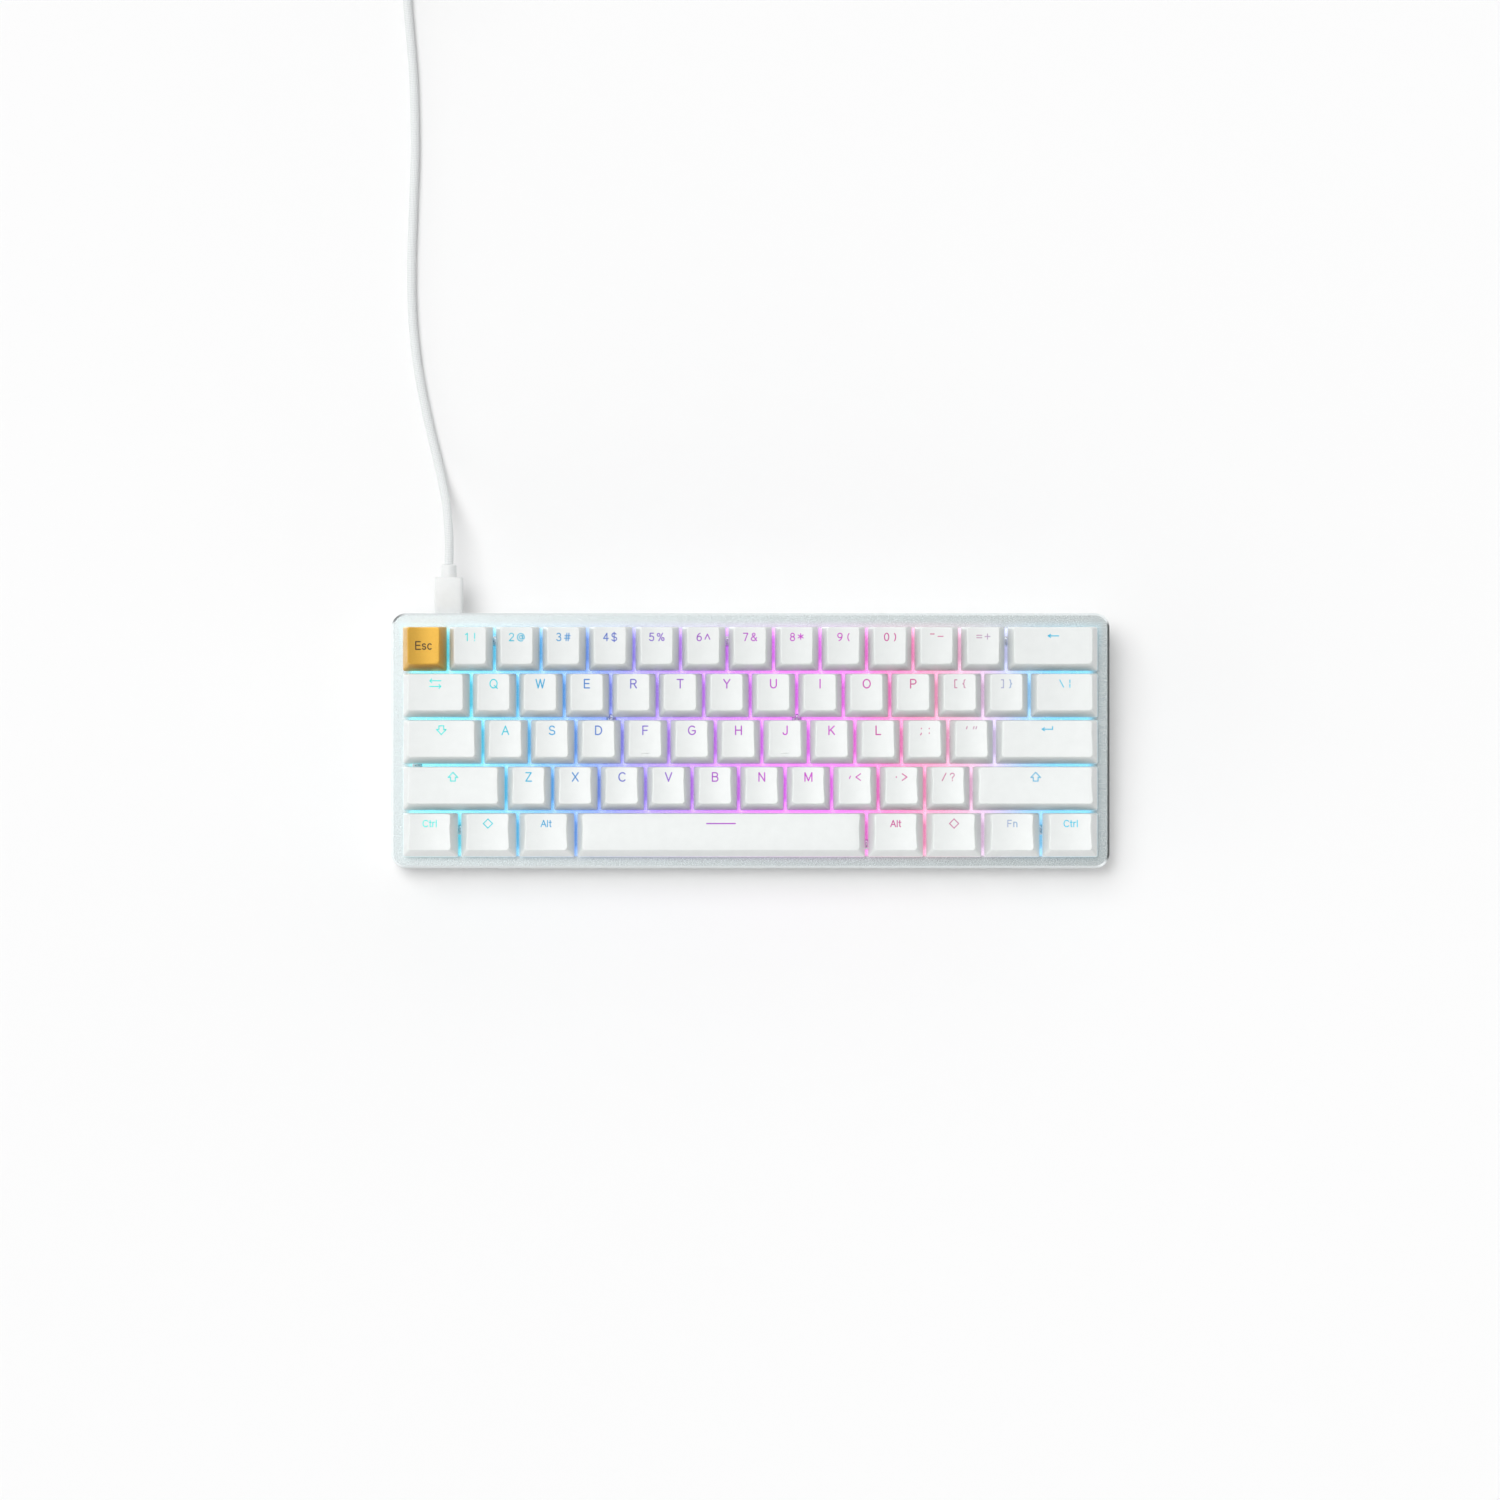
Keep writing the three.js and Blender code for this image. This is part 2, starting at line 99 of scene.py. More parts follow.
# ---- Keys, back row first ----
# Each row: its caps' height, the slope of their tops in degrees, how much narrower they are at the top
# than at the skirt, and its keys from left to right: name, width in units, legends.
ROWS = [
    (11.2, -3, 5.3, [
        ("esc", 1, "Esc"), ("1", 1, "1!"), ("2", 1, "2@"), ("3", 1, "3#"), ("4", 1, "4$"), ("5", 1, "5%"),
        ("6", 1, "6^"), ("7", 1, "7&"), ("8", 1, "8*"), ("9", 1, "9("), ("0", 1, "0)"), ("minus", 1, "-_"),
        ("equals", 1, "=+"), ("backspace", 2, "~")]),
    (9.45, 1, 5.25, [
        ("tab", 1.5, "tab"), *[(c, 1, c.upper()) for c in "qwertyuiop"], ("left_bracket", 1, "[{"),
        ("right_bracket", 1, "]}"), ("backslash", 1.5, "\\|")]),
    (9.0, 6, 5.4, [
        ("caps_lock", 1.75, "caps"), *[(c, 1, c.upper()) for c in "asdfghjkl"], ("semicolon", 1, ";:"),
        ("apostrophe", 1, "'\""), ("enter", 2.25, "enter")]),
    (9.25, 9, 5.65, [
        ("left_shift", 2.25, "shift"), *[(c, 1, c.upper()) for c in "zxcvbnm"], ("comma", 1, ",<"),
        ("period", 1, ".>"), ("slash", 1, "/?"), ("right_shift", 2.75, "shift")]),
    (9.25, 10, 6.3, [
        ("left_ctrl", 1.25, "Ctrl"), ("left_meta", 1.25, "meta"), ("left_alt", 1.25, "Alt"),
        ("space", 6.25, "space"), ("right_alt", 1.25, "Alt"), ("right_meta", 1.25, "meta"),
        ("fn", 1.25, "Fn"), ("right_ctrl", 1.25, "Ctrl")]),
]
# Where the plate's screws are on the deck: units from the key field's left edge, and y.
PLATE_SCREWS = [(FIELD_LEFT + units * UNIT, y) for units, y in (
    (2, 40.8), (7, 40.8), (13, 40.8), (4.5, KEY_FIELD_Y + UNIT / 2), (8.5, KEY_FIELD_Y + UNIT / 2),
    (0.32, KEY_FIELD_Y - UNIT / 2), (1.25, -36.6), (10, -42.6), (13.75, -36.6),
)]


class Key:
    """One key: where it is on the deck, and the surface of its cap."""

    def __init__(self, name, units, legend, left, row, height, slope, side_lean):
        self.name, self.units, self.legend = name, units, legend
        self.x = left + units * UNIT / 2
        self.y = KEY_FIELD_Y + (2 - row) * UNIT
        self.width, self.depth = units * UNIT - CAP_GAP, UNIT - CAP_GAP
        self.height, self.slope = height, math.tan(math.radians(slope))
        self.side_lean = SPACE_SIDE_LEAN if name == "space" else side_lean
        self.reach = SPACE_REACH if name == "space" else STABILISER_REACH
        node = f"key_{name}"
        self.node = node if node in frame["nodes"] else "number_row_keys"

    def surface(self, x, y):
        """Height of the cap's top over the skirt, at a point measured from the key's middle."""
        y -= CAP_SKEW
        half = (self.width - self.side_lean) / 2
        if self.name == "space":
            across = y / ((self.depth - CAP_DEPTH_LEAN) / 2)
            return self.height - y * self.slope + SPACE_CROWN * (1 - across**2) - SPACE_CROWN / 2
        return self.height - y * self.slope - CAP_DISH * (1 - (x / half) ** 2) + CAP_DISH / 2

    def on_top(self, x, y, up):
        """The deck point that is up over the cap's top, at a point measured from the key's middle."""
        return self.x + x, self.y + y, CAP_SKIRT + self.surface(x, y) + up


def all_keys():
    keys = []
    for row, (height, slope, side_lean, entries) in enumerate(ROWS):
        left = FIELD_LEFT
        for name, units, legend in entries:
            keys.append(Key(name, units, legend, left, row, height, slope, side_lean))
            left += units * UNIT
    return keys


KEYS = all_keys()


# ---- Camera: straight over the plate, as the picture is taken ----
CAMERA_DISTANCE, CAMERA_X, VIEW_WIDTH = 2900.0, 22.0, 616.05
FRAME_MIDDLE = (-0.16, -3.87)  # the deck point at the middle of the picture
SENSOR = 36.0


def make_camera():
    data = bpy.data.cameras.new("camera")
    data.sensor_width = SENSOR
    data.lens = SENSOR * CAMERA_DISTANCE / VIEW_WIDTH
    data.shift_x = (FRAME_MIDDLE[0] - CAMERA_X) / VIEW_WIDTH
    camera = bpy.data.objects.new("camera", data)
    bpy.context.scene.collection.objects.link(camera)
    place = DECK @ Vector((CAMERA_X, FRAME_MIDDLE[1], CAMERA_DISTANCE))
    camera.location = place * MM
    camera.rotation_euler = (TILT, 0, 0)
    bpy.context.scene.camera = camera


make_camera()


# ---- Mesh helpers ----
def arc(cx, cy, rx, ry, start, end, steps=0):
    """Points along part of an ellipse, in degrees, anticlockwise where end is more than start."""
    count = int(steps) or max(3, round(abs(end - start) / 18))
    turns = [math.radians(start + (end - start) * i / count) for i in range(count + 1)]
    return [(cx + rx * math.cos(t), cy + ry * math.sin(t)) for t in turns]


def rounded_rect(width, depth, radius, corner_steps=5, edge_steps=(1, 1)):
    """Points round a rounded rectangle, with the straight edges split into edge_steps along X and Y."""
    w, d = width / 2 - radius, depth / 2 - radius
    corners = [arc(sx * w, sy * d, radius, radius, a, a + 90, corner_steps)
               for sx, sy, a in ((1, 1, 0), (-1, 1, 90), (-1, -1, 180), (1, -1, 270))]
    points = []
    for i, corner in enumerate(corners):
        points += corner
        end, start = Vector(corner[-1]), Vector(corners[(i + 1) % 4][0])
        steps = edge_steps[i % 2]
        points += [tuple(end.lerp(start, k / steps)) for k in range(1, steps)]
    return points


def circle(radius, sides):
    turns = [math.tau * i / sides for i in range(sides)]
    return [(radius * math.cos(turn), radius * math.sin(turn)) for turn in turns]


def drawn_in(width, depth, radius, levels, rate=1.0):
    """Sections of a rounded box; a level is an inset and a height, and rate is how fast corners tighten."""
    least = 0.05
    return [(width - 2 * inset, depth - 2 * inset, max(radius - inset * rate, least), z)
            for inset, z in levels]


def headings(path):
    """A path's direction at each of its points."""
    return [(b - a).normalized() for a, b in zip([path[0], *path], [*path[1:], path[-1]])]


def skin(rings, closed_ends=True):
    """Quads between successive rings of equal length, and a fan on each end."""
    n = len(rings[0])
    verts = [p for ring in rings for p in ring]
    last = len(verts) - n
    faces = []
    for a in range(0, last, n):
        faces += [(a + i, a + (i + 1) % n, a + n + (i + 1) % n, a + n + i) for i in range(n)]
    if closed_ends:
        for ring, at, flip in ((rings[0], 0, True), (rings[-1], last, False)):
            hub = len(verts)
            verts.append(tuple(sum((Vector(p) for p in ring), Vector()) / n))
            for i in range(n):
                j = (i + 1) % n
                faces.append((at + j, at + i, hub) if flip else (at + i, at + j, hub))
    return verts, faces


class Build:
    """A mesh that is put together from closed shells, each with a material of its own."""

    def __init__(self):
        self.verts, self.faces, self.slots = [], [], []

    def add(self, verts, faces, slot=0):
        base = len(self.verts)
        self.verts += [tuple(v) for v in verts]
        self.faces += [tuple(base + i for i in f) for f in faces]
        self.slots += [slot] * len(faces)

    def shell(self, rings, slot=0):
        self.add(*skin(rings), slot)

    def band(self, rings):
        """Rings that close on the first again, as a strap or a collar does."""
        verts, faces = skin(rings, closed_ends=False)
        n, last = len(rings[0]), len(verts) - len(rings[0])
        self.add(verts, faces + [(last + i, last + (i + 1) % n, (i + 1) % n, i) for i in range(n)])

    def lathe(self, profile, sides, x=0, y=0, slot=0):
        """A turned solid about an upright axis; profile is radius and height, from bottom to top."""
        self.shell([[(x + px, y + py, z) for px, py in circle(r, sides)] for r, z in profile], slot)

    def stack(self, sections, x=0, y=0, steps=3, slot=0):
        """Rounded rectangles one over another; a section is width, depth, corner radius and height."""
        self.shell([[(x + px, y + py, z) for px, py in rounded_rect(width, depth, radius, steps)]
                    for width, depth, radius, z in sections], slot)

    def lying(self, sections, x=0, z=0, steps=5, slot=0):
        """Rounded rectangles one behind another; a section is width, height, corner radius and y."""
        self.shell([[(x + px, y, z - pz) for px, pz in rounded_rect(width, height, radius, steps)]
                    for width, height, radius, y in sections], slot)

    def block(self, width, depth, low, high, x=0, y=0, radius=0.3, slot=0):
        """An upright block with rounded corners and softened top and bottom edges."""
        soft = min(radius, (high - low) / 3)
        levels = [(soft, low), (soft * 0.3, low + soft * 0.3), (0, low + soft),
                  (0, high - soft), (soft * 0.3, high - soft * 0.3), (soft, high)]
        self.stack(drawn_in(width, depth, radius, levels), x, y, slot=slot)

    def object(self, name, looks="", matrix=DECK, sharp=35):
        """Finishes the mesh, with the named looks in its slots."""
        mesh = bpy.data.meshes.new(name)
        mesh.from_pydata(self.verts, [], self.faces)
        mesh.polygons.foreach_set("material_index", self.slots)
        mesh.transform(Matrix.Scale(MM, 4) @ matrix)
        made = bpy.data.objects.new(name, mesh)
        bpy.context.scene.collection.objects.link(made)
        for look in looks.split():
            mesh.materials.append(LOOKS[look])
        mesh.shade_smooth()
        mesh.set_sharp_from_angle(angle=math.radians(sharp))
        mesh.update()
        return made

    def piece(self, name, looks, body, slot, *nodes, matrix=DECK, sharp=35):
        """Finishes the mesh and puts it on its body."""
        made = self.object(name, looks, matrix, sharp)
        fit(made, body, slot, *nodes)
        return made


def cut(target, cutter):
    """Takes cutter away from target, for good."""
    modifier = target.modifiers.new("cut", "BOOLEAN")
    modifier.operation, modifier.solver, modifier.object = "DIFFERENCE", "EXACT", cutter
    bpy.context.view_layer.update()
    cut_mesh = bpy.data.meshes.new_from_object(target.evaluated_get(bpy.context.evaluated_depsgraph_get()))
    target.modifiers.clear()
    old, target.data = target.data, cut_mesh
    bpy.data.meshes.remove(old)
    bpy.data.objects.remove(cutter)
    cut_mesh.shade_smooth()
    cut_mesh.set_sharp_from_angle(angle=math.radians(30))


def fit(piece, body, slot, *nodes):
    """Puts a piece on its body, in place of the CAD nodes that it stands for; slot is not used."""
    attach(piece, body)
    if nodes:
        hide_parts(*nodes)


# ---- Materials ----
def linear(hex_colour):
    parts = [int(hex_colour[i:i + 2], 16) / 255 for i in (0, 2, 4)]
    return tuple(c / 12.92 if c <= 0.04045 else ((c + 0.055) / 1.055) ** 2.4 for c in parts) + (1.0,)


# The backlight from left to right: deck x in millimetres, and colour.
BACKLIGHT = [
    (-142, "54E4F0"), (-118, "4ACFEA"), (-98, "46B6E8"), (-80, "489CE6"), (-62, "5C7EE2"), (-44, "9070E8"),
    (-24, "B45EE8"), (-5, "CA50E8"), (14, "E24EEE"), (36, "EC50EA"), (55, "EE54B4"), (73, "F27CAE"),
    (90, "E4A4C6"), (102, "C4B4DE"), (113, "86BCEC"), (123, "56C2F0"), (142, "58CEF0"),
]
LIGHT_ENDS = BACKLIGHT[0][0], BACKLIGHT[-1][0]
# What the legends' painted backlight colour is multiplied by, from the backlight's left end to its right
# end.
LEGEND_SHADE = [
    (0.0, (0.95, 1.05, 0.8)), (0.14, (1.05, 1.12, 0.8)), (0.2, (0.75, 1.0, 0.76)), (0.3, (0.6, 0.8, 0.66)),
    (0.45, (0.68, 0.66, 0.6)), (0.6, (0.62, 0.62, 0.6)), (0.75, (0.58, 0.6, 0.62)), (0.86, (0.7, 0.8, 0.72)),
    (1.0, (0.5, 0.98, 0.85)),
]


class Wiring:
    """Short ways to add nodes to a node tree."""

    def __init__(self, owner):
        owner.use_nodes = True
        self.nodes, self.links = owner.node_tree.nodes, owner.node_tree.links

    def node(self, kind, inputs=None, **settings):
        made = self.nodes.new("ShaderNode" + kind)
        for key, value in settings.items():
            setattr(made, key, value)
        for key, value in (inputs or {}).items():
            self.feed(made.inputs[key], value)
        return made

    def feed(self, socket, value):
        """Links a socket to another, or gives it a constant."""
        if isinstance(value, bpy.types.NodeSocket):
            self.links.new(value, socket)
        else:
            socket.default_value = value

    def math(self, operation, a, b=0.0, c=0.0):
        return self.node("Math", {0: a, 1: b, 2: c}, operation=operation).outputs[0]

    def ramp(self, factor, stops):
        """A colour ramp; stops are places, and colours or grey levels."""
        made = self.node("ValToRGB", {"Fac": factor})
        elements = made.color_ramp.elements
        while len(elements) < len(stops):
            elements.new(0.5)
        for element, (at, value) in zip(elements, stops):
            element.position = at
            element.color = (*value[:3], 1) if isinstance(value, tuple) else (value, value, value, 1)
        return made.outputs["Color"]

    def range(self, value, low, high, to_low=0.0, to_high=1.0, smooth=True):
        inputs = {"Value": value, "From Min": low, "From Max": high, "To Min": to_low, "To Max": to_high}
        kind = "SMOOTHSTEP" if smooth else "LINEAR"
        return self.node("MapRange", inputs, interpolation_type=kind).outputs["Result"]

    def parts(self, vector):
        made = self.node("SeparateXYZ", {"Vector": vector})
        return [made.outputs[axis] for axis in "XYZ"]

    def mix(self, factor, a, b, blend="MIX"):
        return self.node("Mix", {0: factor, 6: a, 7: b}, data_type="RGBA", blend_type=blend).outputs[2]


class Look(Wiring):
    """A Principled material."""

    def __init__(self, name, colour, roughness, metallic=0.0):
        self.material = bpy.data.materials.new(name)
        super().__init__(self.material)
        self.shader = self.nodes["Principled BSDF"]
        self.shader.inputs["Base Color"].default_value = linear(colour)
        self.shader.inputs["Roughness"].default_value = roughness
        self.shader.inputs["Metallic"].default_value = metallic

    def noise(self, scale, detail=3.0):
        """Noise over the object's own coordinates; scale is in cells per metre."""
        place = self.node("TexCoord").outputs["Object"]
        return self.node("TexNoise", {"Vector": place, "Scale": scale, "Detail": detail}).outputs["Fac"]

    def deck(self):
        """X, Y and Z on the deck, in millimetres."""
        to_deck = DECK.inverted()
        inputs = {
            "Vector": self.node("NewGeometry").outputs["Position"],
            "Location": to_deck.translation,
            "Rotation": to_deck.to_euler(),
            "Scale": (1 / MM,) * 3,
        }
        return self.parts(self.node("Mapping", inputs, vector_type="POINT").outputs[0])

    def backlight(self, x):
        low, high = LIGHT_ENDS
        stops = [((at - low) / (high - low), linear(colour)) for at, colour in BACKLIGHT]
        return self.ramp(self.range(x, low, high, smooth=False), stops)

    def set(self, socket, value):
        self.feed(self.shader.inputs[socket], value)

    def vary(self, colour, amount, scale):
        """Sets a base colour that wanders a little, lighter and darker."""
        base = linear(colour)[:3]
        low, high = tuple(c * (1 - amount) for c in base), tuple(min(c * (1 + amount), 1) for c in base)
        self.set("Base Color", self.ramp(self.noise(scale, 4), [(0.3, low), (0.7, high)]))

    def glow(self, colour, strength):
        self.set("Emission Color", colour)
        self.set("Emission Strength", strength)

    def emboss(self, height, depth, strength=1.0):
        """Raises the surface by a height from 0 to 1, times a depth in millimetres."""
        bump = self.node("Bump", {"Height": height, "Distance": depth * MM, "Strength": strength})
        self.set("Normal", bump.outputs["Normal"])

    def grain(self, scale, depth, detail=3.0):
        self.emboss(self.noise(scale, detail), depth)

    def roughen(self, low, high, scale):
        self.set("Roughness", self.range(self.noise(scale, 4), 0.3, 0.7, low, high))


def textured(name, colour, roughness, metallic, vary, grain, roughen):
    """A look with all three textures; each holds what the Look method of that name takes."""
    look = Look(name, colour, roughness, metallic)
    look.vary(colour, *vary)
    look.grain(*grain)
    look.roughen(*roughen)
    return look


def simple(name, colour, roughness, metallic, wander, scale, depth):
    """A look whose textures share one scale, in cells per metre."""
    roughen = roughness * 0.85, min(roughness * 1.2, 1), scale * 2
    return textured(name, colour, roughness, metallic, (wander, scale), (scale * 4, depth), roughen).material


def cap_with_painted_glow(name, colour, roughness, metallic, textures, reach, strength):
    """A cap's plastic with a painted glow of the backlight on its walls, from the skirt's edge up to reach
    millimetres above it.
    """
    look = textured(name, colour, roughness, metallic, *textures)
    x, _, z = look.deck()
    # Painted backlight glow, strongest at the skirt's edge and gone reach millimetres above it.
    painted_glow_fade = look.range(z, CAP_SKIRT - 0.5, CAP_SKIRT + reach, 1.0, 0.0)
    look.glow(look.backlight(x), look.math("MULTIPLY", look.math("POWER", painted_glow_fade, 2.0), strength))
    return look.material


def legend_with_painted_backlight():
    look = Look("legend_with_painted_backlight", "FFFFFF", 0.4)
    x, _, _ = look.deck()
    colour = look.backlight(x)
    # The legends' colour is the backlight painted on; it is darker than the light between the keys, least so
    # at the two ends.
    shade = look.ramp(look.range(x, *LIGHT_ENDS, smooth=False), LEGEND_SHADE)
    wear = look.range(look.noise(1500, 2), 0.3, 0.7, 0.95, 1.05)
    worn = look.node("CombineColor", {0: wear, 1: wear, 2: wear}).outputs[0]
    look.set("Base Color", look.mix(1.0, look.mix(1.0, colour, shade, "MULTIPLY"), worn, "MULTIPLY"))
    # A faint painted glow of the backlight on the legends.
    look.glow(colour, 0.08)
    return look.material


def printed_legend():
    look = Look("printed_legend", "3C2A14", 0.5)
    look.vary("3C2A14", 0.15, 2500)
    look.grain(6000, 0.01)
    return look.material


def blasted_aluminium():
    """The plate: bright outside the key field, with a painted glow of the backlight under and just round the
    caps, and painted shade under the caps.
    """
    look = Look("blasted_aluminium", "D1D9DA", 0.26, 0.97)
    look.grain(6500, 0.002, 3.0)
    look.roughen(0.25, 0.28, 2600)
    x, y, _ = look.deck()

    def product(a, b):
        return look.math("MULTIPLY", a, b)

    # How far outside the key field a point is, in millimetres, and how near it is to a row of lamps.
    from_middle = look.math("SUBTRACT", y, KEY_FIELD_Y)
    beyond_x = look.math("SUBTRACT", look.math("ABSOLUTE", x), -FIELD_LEFT - 0.4)
    beyond_y = look.math("SUBTRACT", look.math("ABSOLUTE", from_middle), FIELD_HALF_DEPTH - 0.4)
    beyond = look.math("MAXIMUM", beyond_x, beyond_y)
    lamps = look.math("COSINE", product(from_middle, math.tau / UNIT))
    near_lamp = look.range(lamps, 0.6, -1.0)
    within_rows = look.range(beyond_y, -1.2, 0.2, 1.0, 0.0)
    under_caps = product(within_rows, look.range(beyond_x, -4.5, -0.3, 1.0, 0.0))
    inside = product(under_caps, look.math("MULTIPLY_ADD", near_lamp, 0.12, 0.72))
    # Painted glow of the backlight: under the caps, stronger near the lamps, and a faint painted spill just
    # outside the key field, stronger towards the rear.
    spill = product(look.range(beyond, 0.0, 3.0, 1.0, 0.0), look.range(y, 30, 46, 0.01, 0.12))
    look.glow(look.backlight(x), look.math("ADD", spill, inside))
    metal = look.ramp(look.noise(1400, 4), [(0.3, linear("CFD7D8")), (0.7, linear("D3DBDC"))])
    # Painted shade under the caps, deepest away from the lamps, darkens the metal towards 50585C.
    in_shade = product(look.range(beyond, -1.2, 0.2, 1.0, 0.0), look.range(near_lamp, 0.0, 1.0, 0.7, 0.1))
    look.set("Base Color", look.mix(in_shade, metal, linear("50585C")))
    return look.material


def housing_plastic():
    look = Look("housing_plastic", "E6EAEC", 0.3)
    look.vary("E4E8EA", 0.03, 600)
    look.grain(3000, 0.01)
    x, _, z = look.deck()
    # A painted glow of the backlight through the housing, strongest at its foot and fainter towards its top.
    look.glow(look.backlight(x), look.range(z, -1.0, HOUSING_TOP, 0.3, 0.12))
    return look.material


def led_glass():
    look = Look("led_lens", "FFFFFF", 0.2)
    x, _, _ = look.deck()
    colour = look.mix(0.35, look.backlight(x), (1, 1, 1, 1))
    look.glow(colour, look.range(look.noise(900, 1), 0.2, 0.8, 0.9, 1.1))
    return look.material


def woven_sleeve():
    """A fine plain weave in white yarn, laid out along and round the lead by the tube's own UVs."""
    look = Look("woven_sleeve", "E8EAEA", 0.62)
    u, v, _ = look.parts(look.node("UVMap", uv_map="along").outputs["UV"])
    slants = [look.math("MULTIPLY", look.math(way, u, v), math.tau) for way in ("ADD", "SUBTRACT")]
    height = look.range(look.math("MULTIPLY", *[look.math("SINE", slant) for slant in slants]), -1, 1)
    look.emboss(height, 0.12, 0.8)
    # The weave's colour follows its bump: painted shade darkens its low places and a slight painted
    # highlight lightens its crests.
    yarn_with_painted_shade = look.ramp(height, [(0.0, linear("C6CACB")), (0.6, linear("E4E7E7")), (1.0, linear("EEF0F0"))])
    look.set("Base Color", look.mix(look.noise(700, 3), yarn_with_painted_shade, linear("E3E6E6")))
    look.set("Sheen Weight", 0.2)
    return look.material


def floor_paper():
    look = Look("floor_paper", "F3F3F3", 0.9)
    look.vary("F3F3F3", 0.003, 3)
    return look.material


LOOKS = {
    "keycap": cap_with_painted_glow("keycap_plastic", "E4E7E6", 0.42, 0.0,
                      ((0.015, 240), (5200, 0.012, 2.0), (0.36, 0.5, 900)), 2.4, 0.34),
    "gold": cap_with_painted_glow("gold_paint", "DDAC45", 0.36, 0.5,
                    ((0.035, 1600), (7000, 0.014, 2.0), (0.3, 0.44, 1200)), 1.5, 0.1),
    "legend": legend_with_painted_backlight(),
    "print": printed_legend(),
    "plate": blasted_aluminium(),
    "edge": textured("polished_edge", "DDE2E3", 0.14, 1.0,
                     (0.03, 1200), (3500, 0.003), (0.12, 0.17, 1800)).material,
    "case": textured("case_plastic", "E2E5E5", 0.48, 0.0,
                     (0.015, 120), (3800, 0.02), (0.42, 0.56, 700)).material,
    "housing": housing_plastic(),
    "led": led_glass(),
    "sleeve": woven_sleeve(),
    "floor": floor_paper(),
    "stem": simple("stem_plastic", "8A5A3C", 0.35, 0, 0.06, 900, 0.008),
    "board": simple("solder_mask", "EEF0EC", 0.45, 0, 0.03, 500, 0.01),
    "steel": simple("screw_steel", "DCDFE2", 0.22, 1, 0.05, 2500, 0.006),
    "nickel": simple("nickel_shell", "C4C6C9", 0.26, 1, 0.04, 1500, 0.004),
    "rubber": simple("foot_rubber", "38383A", 0.8, 0, 0.1, 800, 0.02),
    "moulding": simple("plug_moulding", "E4E6E6", 0.46, 0, 0.015, 400, 0.01),
    "tongue": simple("plug_tongue", "F2F2F0", 0.4, 0, 0.02, 900, 0.005),
    "tie": simple("tie_strap", "DADDDD", 0.85, 0, 0.08, 1800, 0.05),
}


# ---- The lead ----
def cable_route():
    """The lead's middle line, from the plug's relief to the plug at its far end."""
    on_desk = CABLE_DIAMETER / 2
    descent = [
        (-124.2, 82, 15.9), (-124.7, 90, 14.4), (-125.6, 98, 10.6), (-127.1, 106, 6.3), (-129.1, 115, 3.0),
    ]
    stretch = [
        (-131.7, 125.8), (-135.0, 140), (-138.4, 158), (-140.6, 178), (-141.2, 200), (-140.6, 225),
        (-140.0, 250), (-140.8, 279), (-142.8, 303), (-144.7, 326), (-145.3, 345),
    ]
    route = [CABLE_START, *map(Vector, descent)] + [Vector((x, y, on_desk)) for x, y in stretch]
    outermost = COIL_RADIUS + (COIL_COLUMNS - 1) * COIL_PITCH / 2
    # Turns over which the lead moves one place in, moves one place out, or climbs a layer.
    inward = [(k + 0.5, k + 1) for k in range(3)] + [(k + 0.3, k + 0.8) for k in (7, 8, 9)]
    outward = [(k, k + 0.5) for k in (4, 5, 6)]
    climbs = [(3.3, 3.8), (6.8, 7.3)]
    plug_low, plug_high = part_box("usb_a_plug")
    to_plug = (plug_low.z + plug_high.z) / 2 / MM - on_desk - (COIL_LAYERS - 1) * COIL_PITCH
    steps_a_turn = 40
    for step in range(COIL_TURNS * steps_a_turn + 1):
        turns = step / steps_a_turn
        column = sum(ease(turns, *span) for span in inward) - sum(ease(turns, *span) for span in outward)
        z = on_desk + COIL_PITCH * sum(ease(turns, *span) for span in climbs)
        z += to_plug * ease(turns, 10.25, 10.75)
        radius, angle = outermost - column * COIL_PITCH, math.pi - math.tau * turns
        route.append(Vector((COIL_X + radius * math.cos(angle), COIL_Y + radius * math.sin(angle), z)))
    return resample(route, step=2.6)


def ease(value, start, end):
    """Goes smoothly from 0 at start to 1 at end."""
    t = min(max((value - start) / (end - start), 0), 1)
    return t * t * (3 - 2 * t)


def resample(points, step):
    """Evenly spaced points on the smooth curve through the given points."""
    padded = [2 * points[0] - points[1], *points, 2 * points[-1] - points[-2]]
    dense = []
    for a, b, c, d in zip(padded, padded[1:], padded[2:], padded[3:]):
        for k in range(12):
            t = k / 12
            dense.append(0.5 * (2 * b + (c - a) * t + (2 * a - 5 * b + 4 * c - d) * t * t
                                + (3 * b - a - 3 * c + d) * t**3))
    dense.append(points[-1].copy())
    lengths = [0.0]
    for a, b in zip(dense, dense[1:]):
        lengths.append(lengths[-1] + (b - a).length)
    count = max(2, round(lengths[-1] / step))
    made, at = [], 0
    for i in range(count + 1):
        want = lengths[-1] * i / count
        while at < len(lengths) - 2 and lengths[at + 1] < want:
            at += 1
        span = lengths[at + 1] - lengths[at]
        made.append(dense[at].lerp(dense[at + 1], (want - lengths[at]) / span if span else 0))
    return made


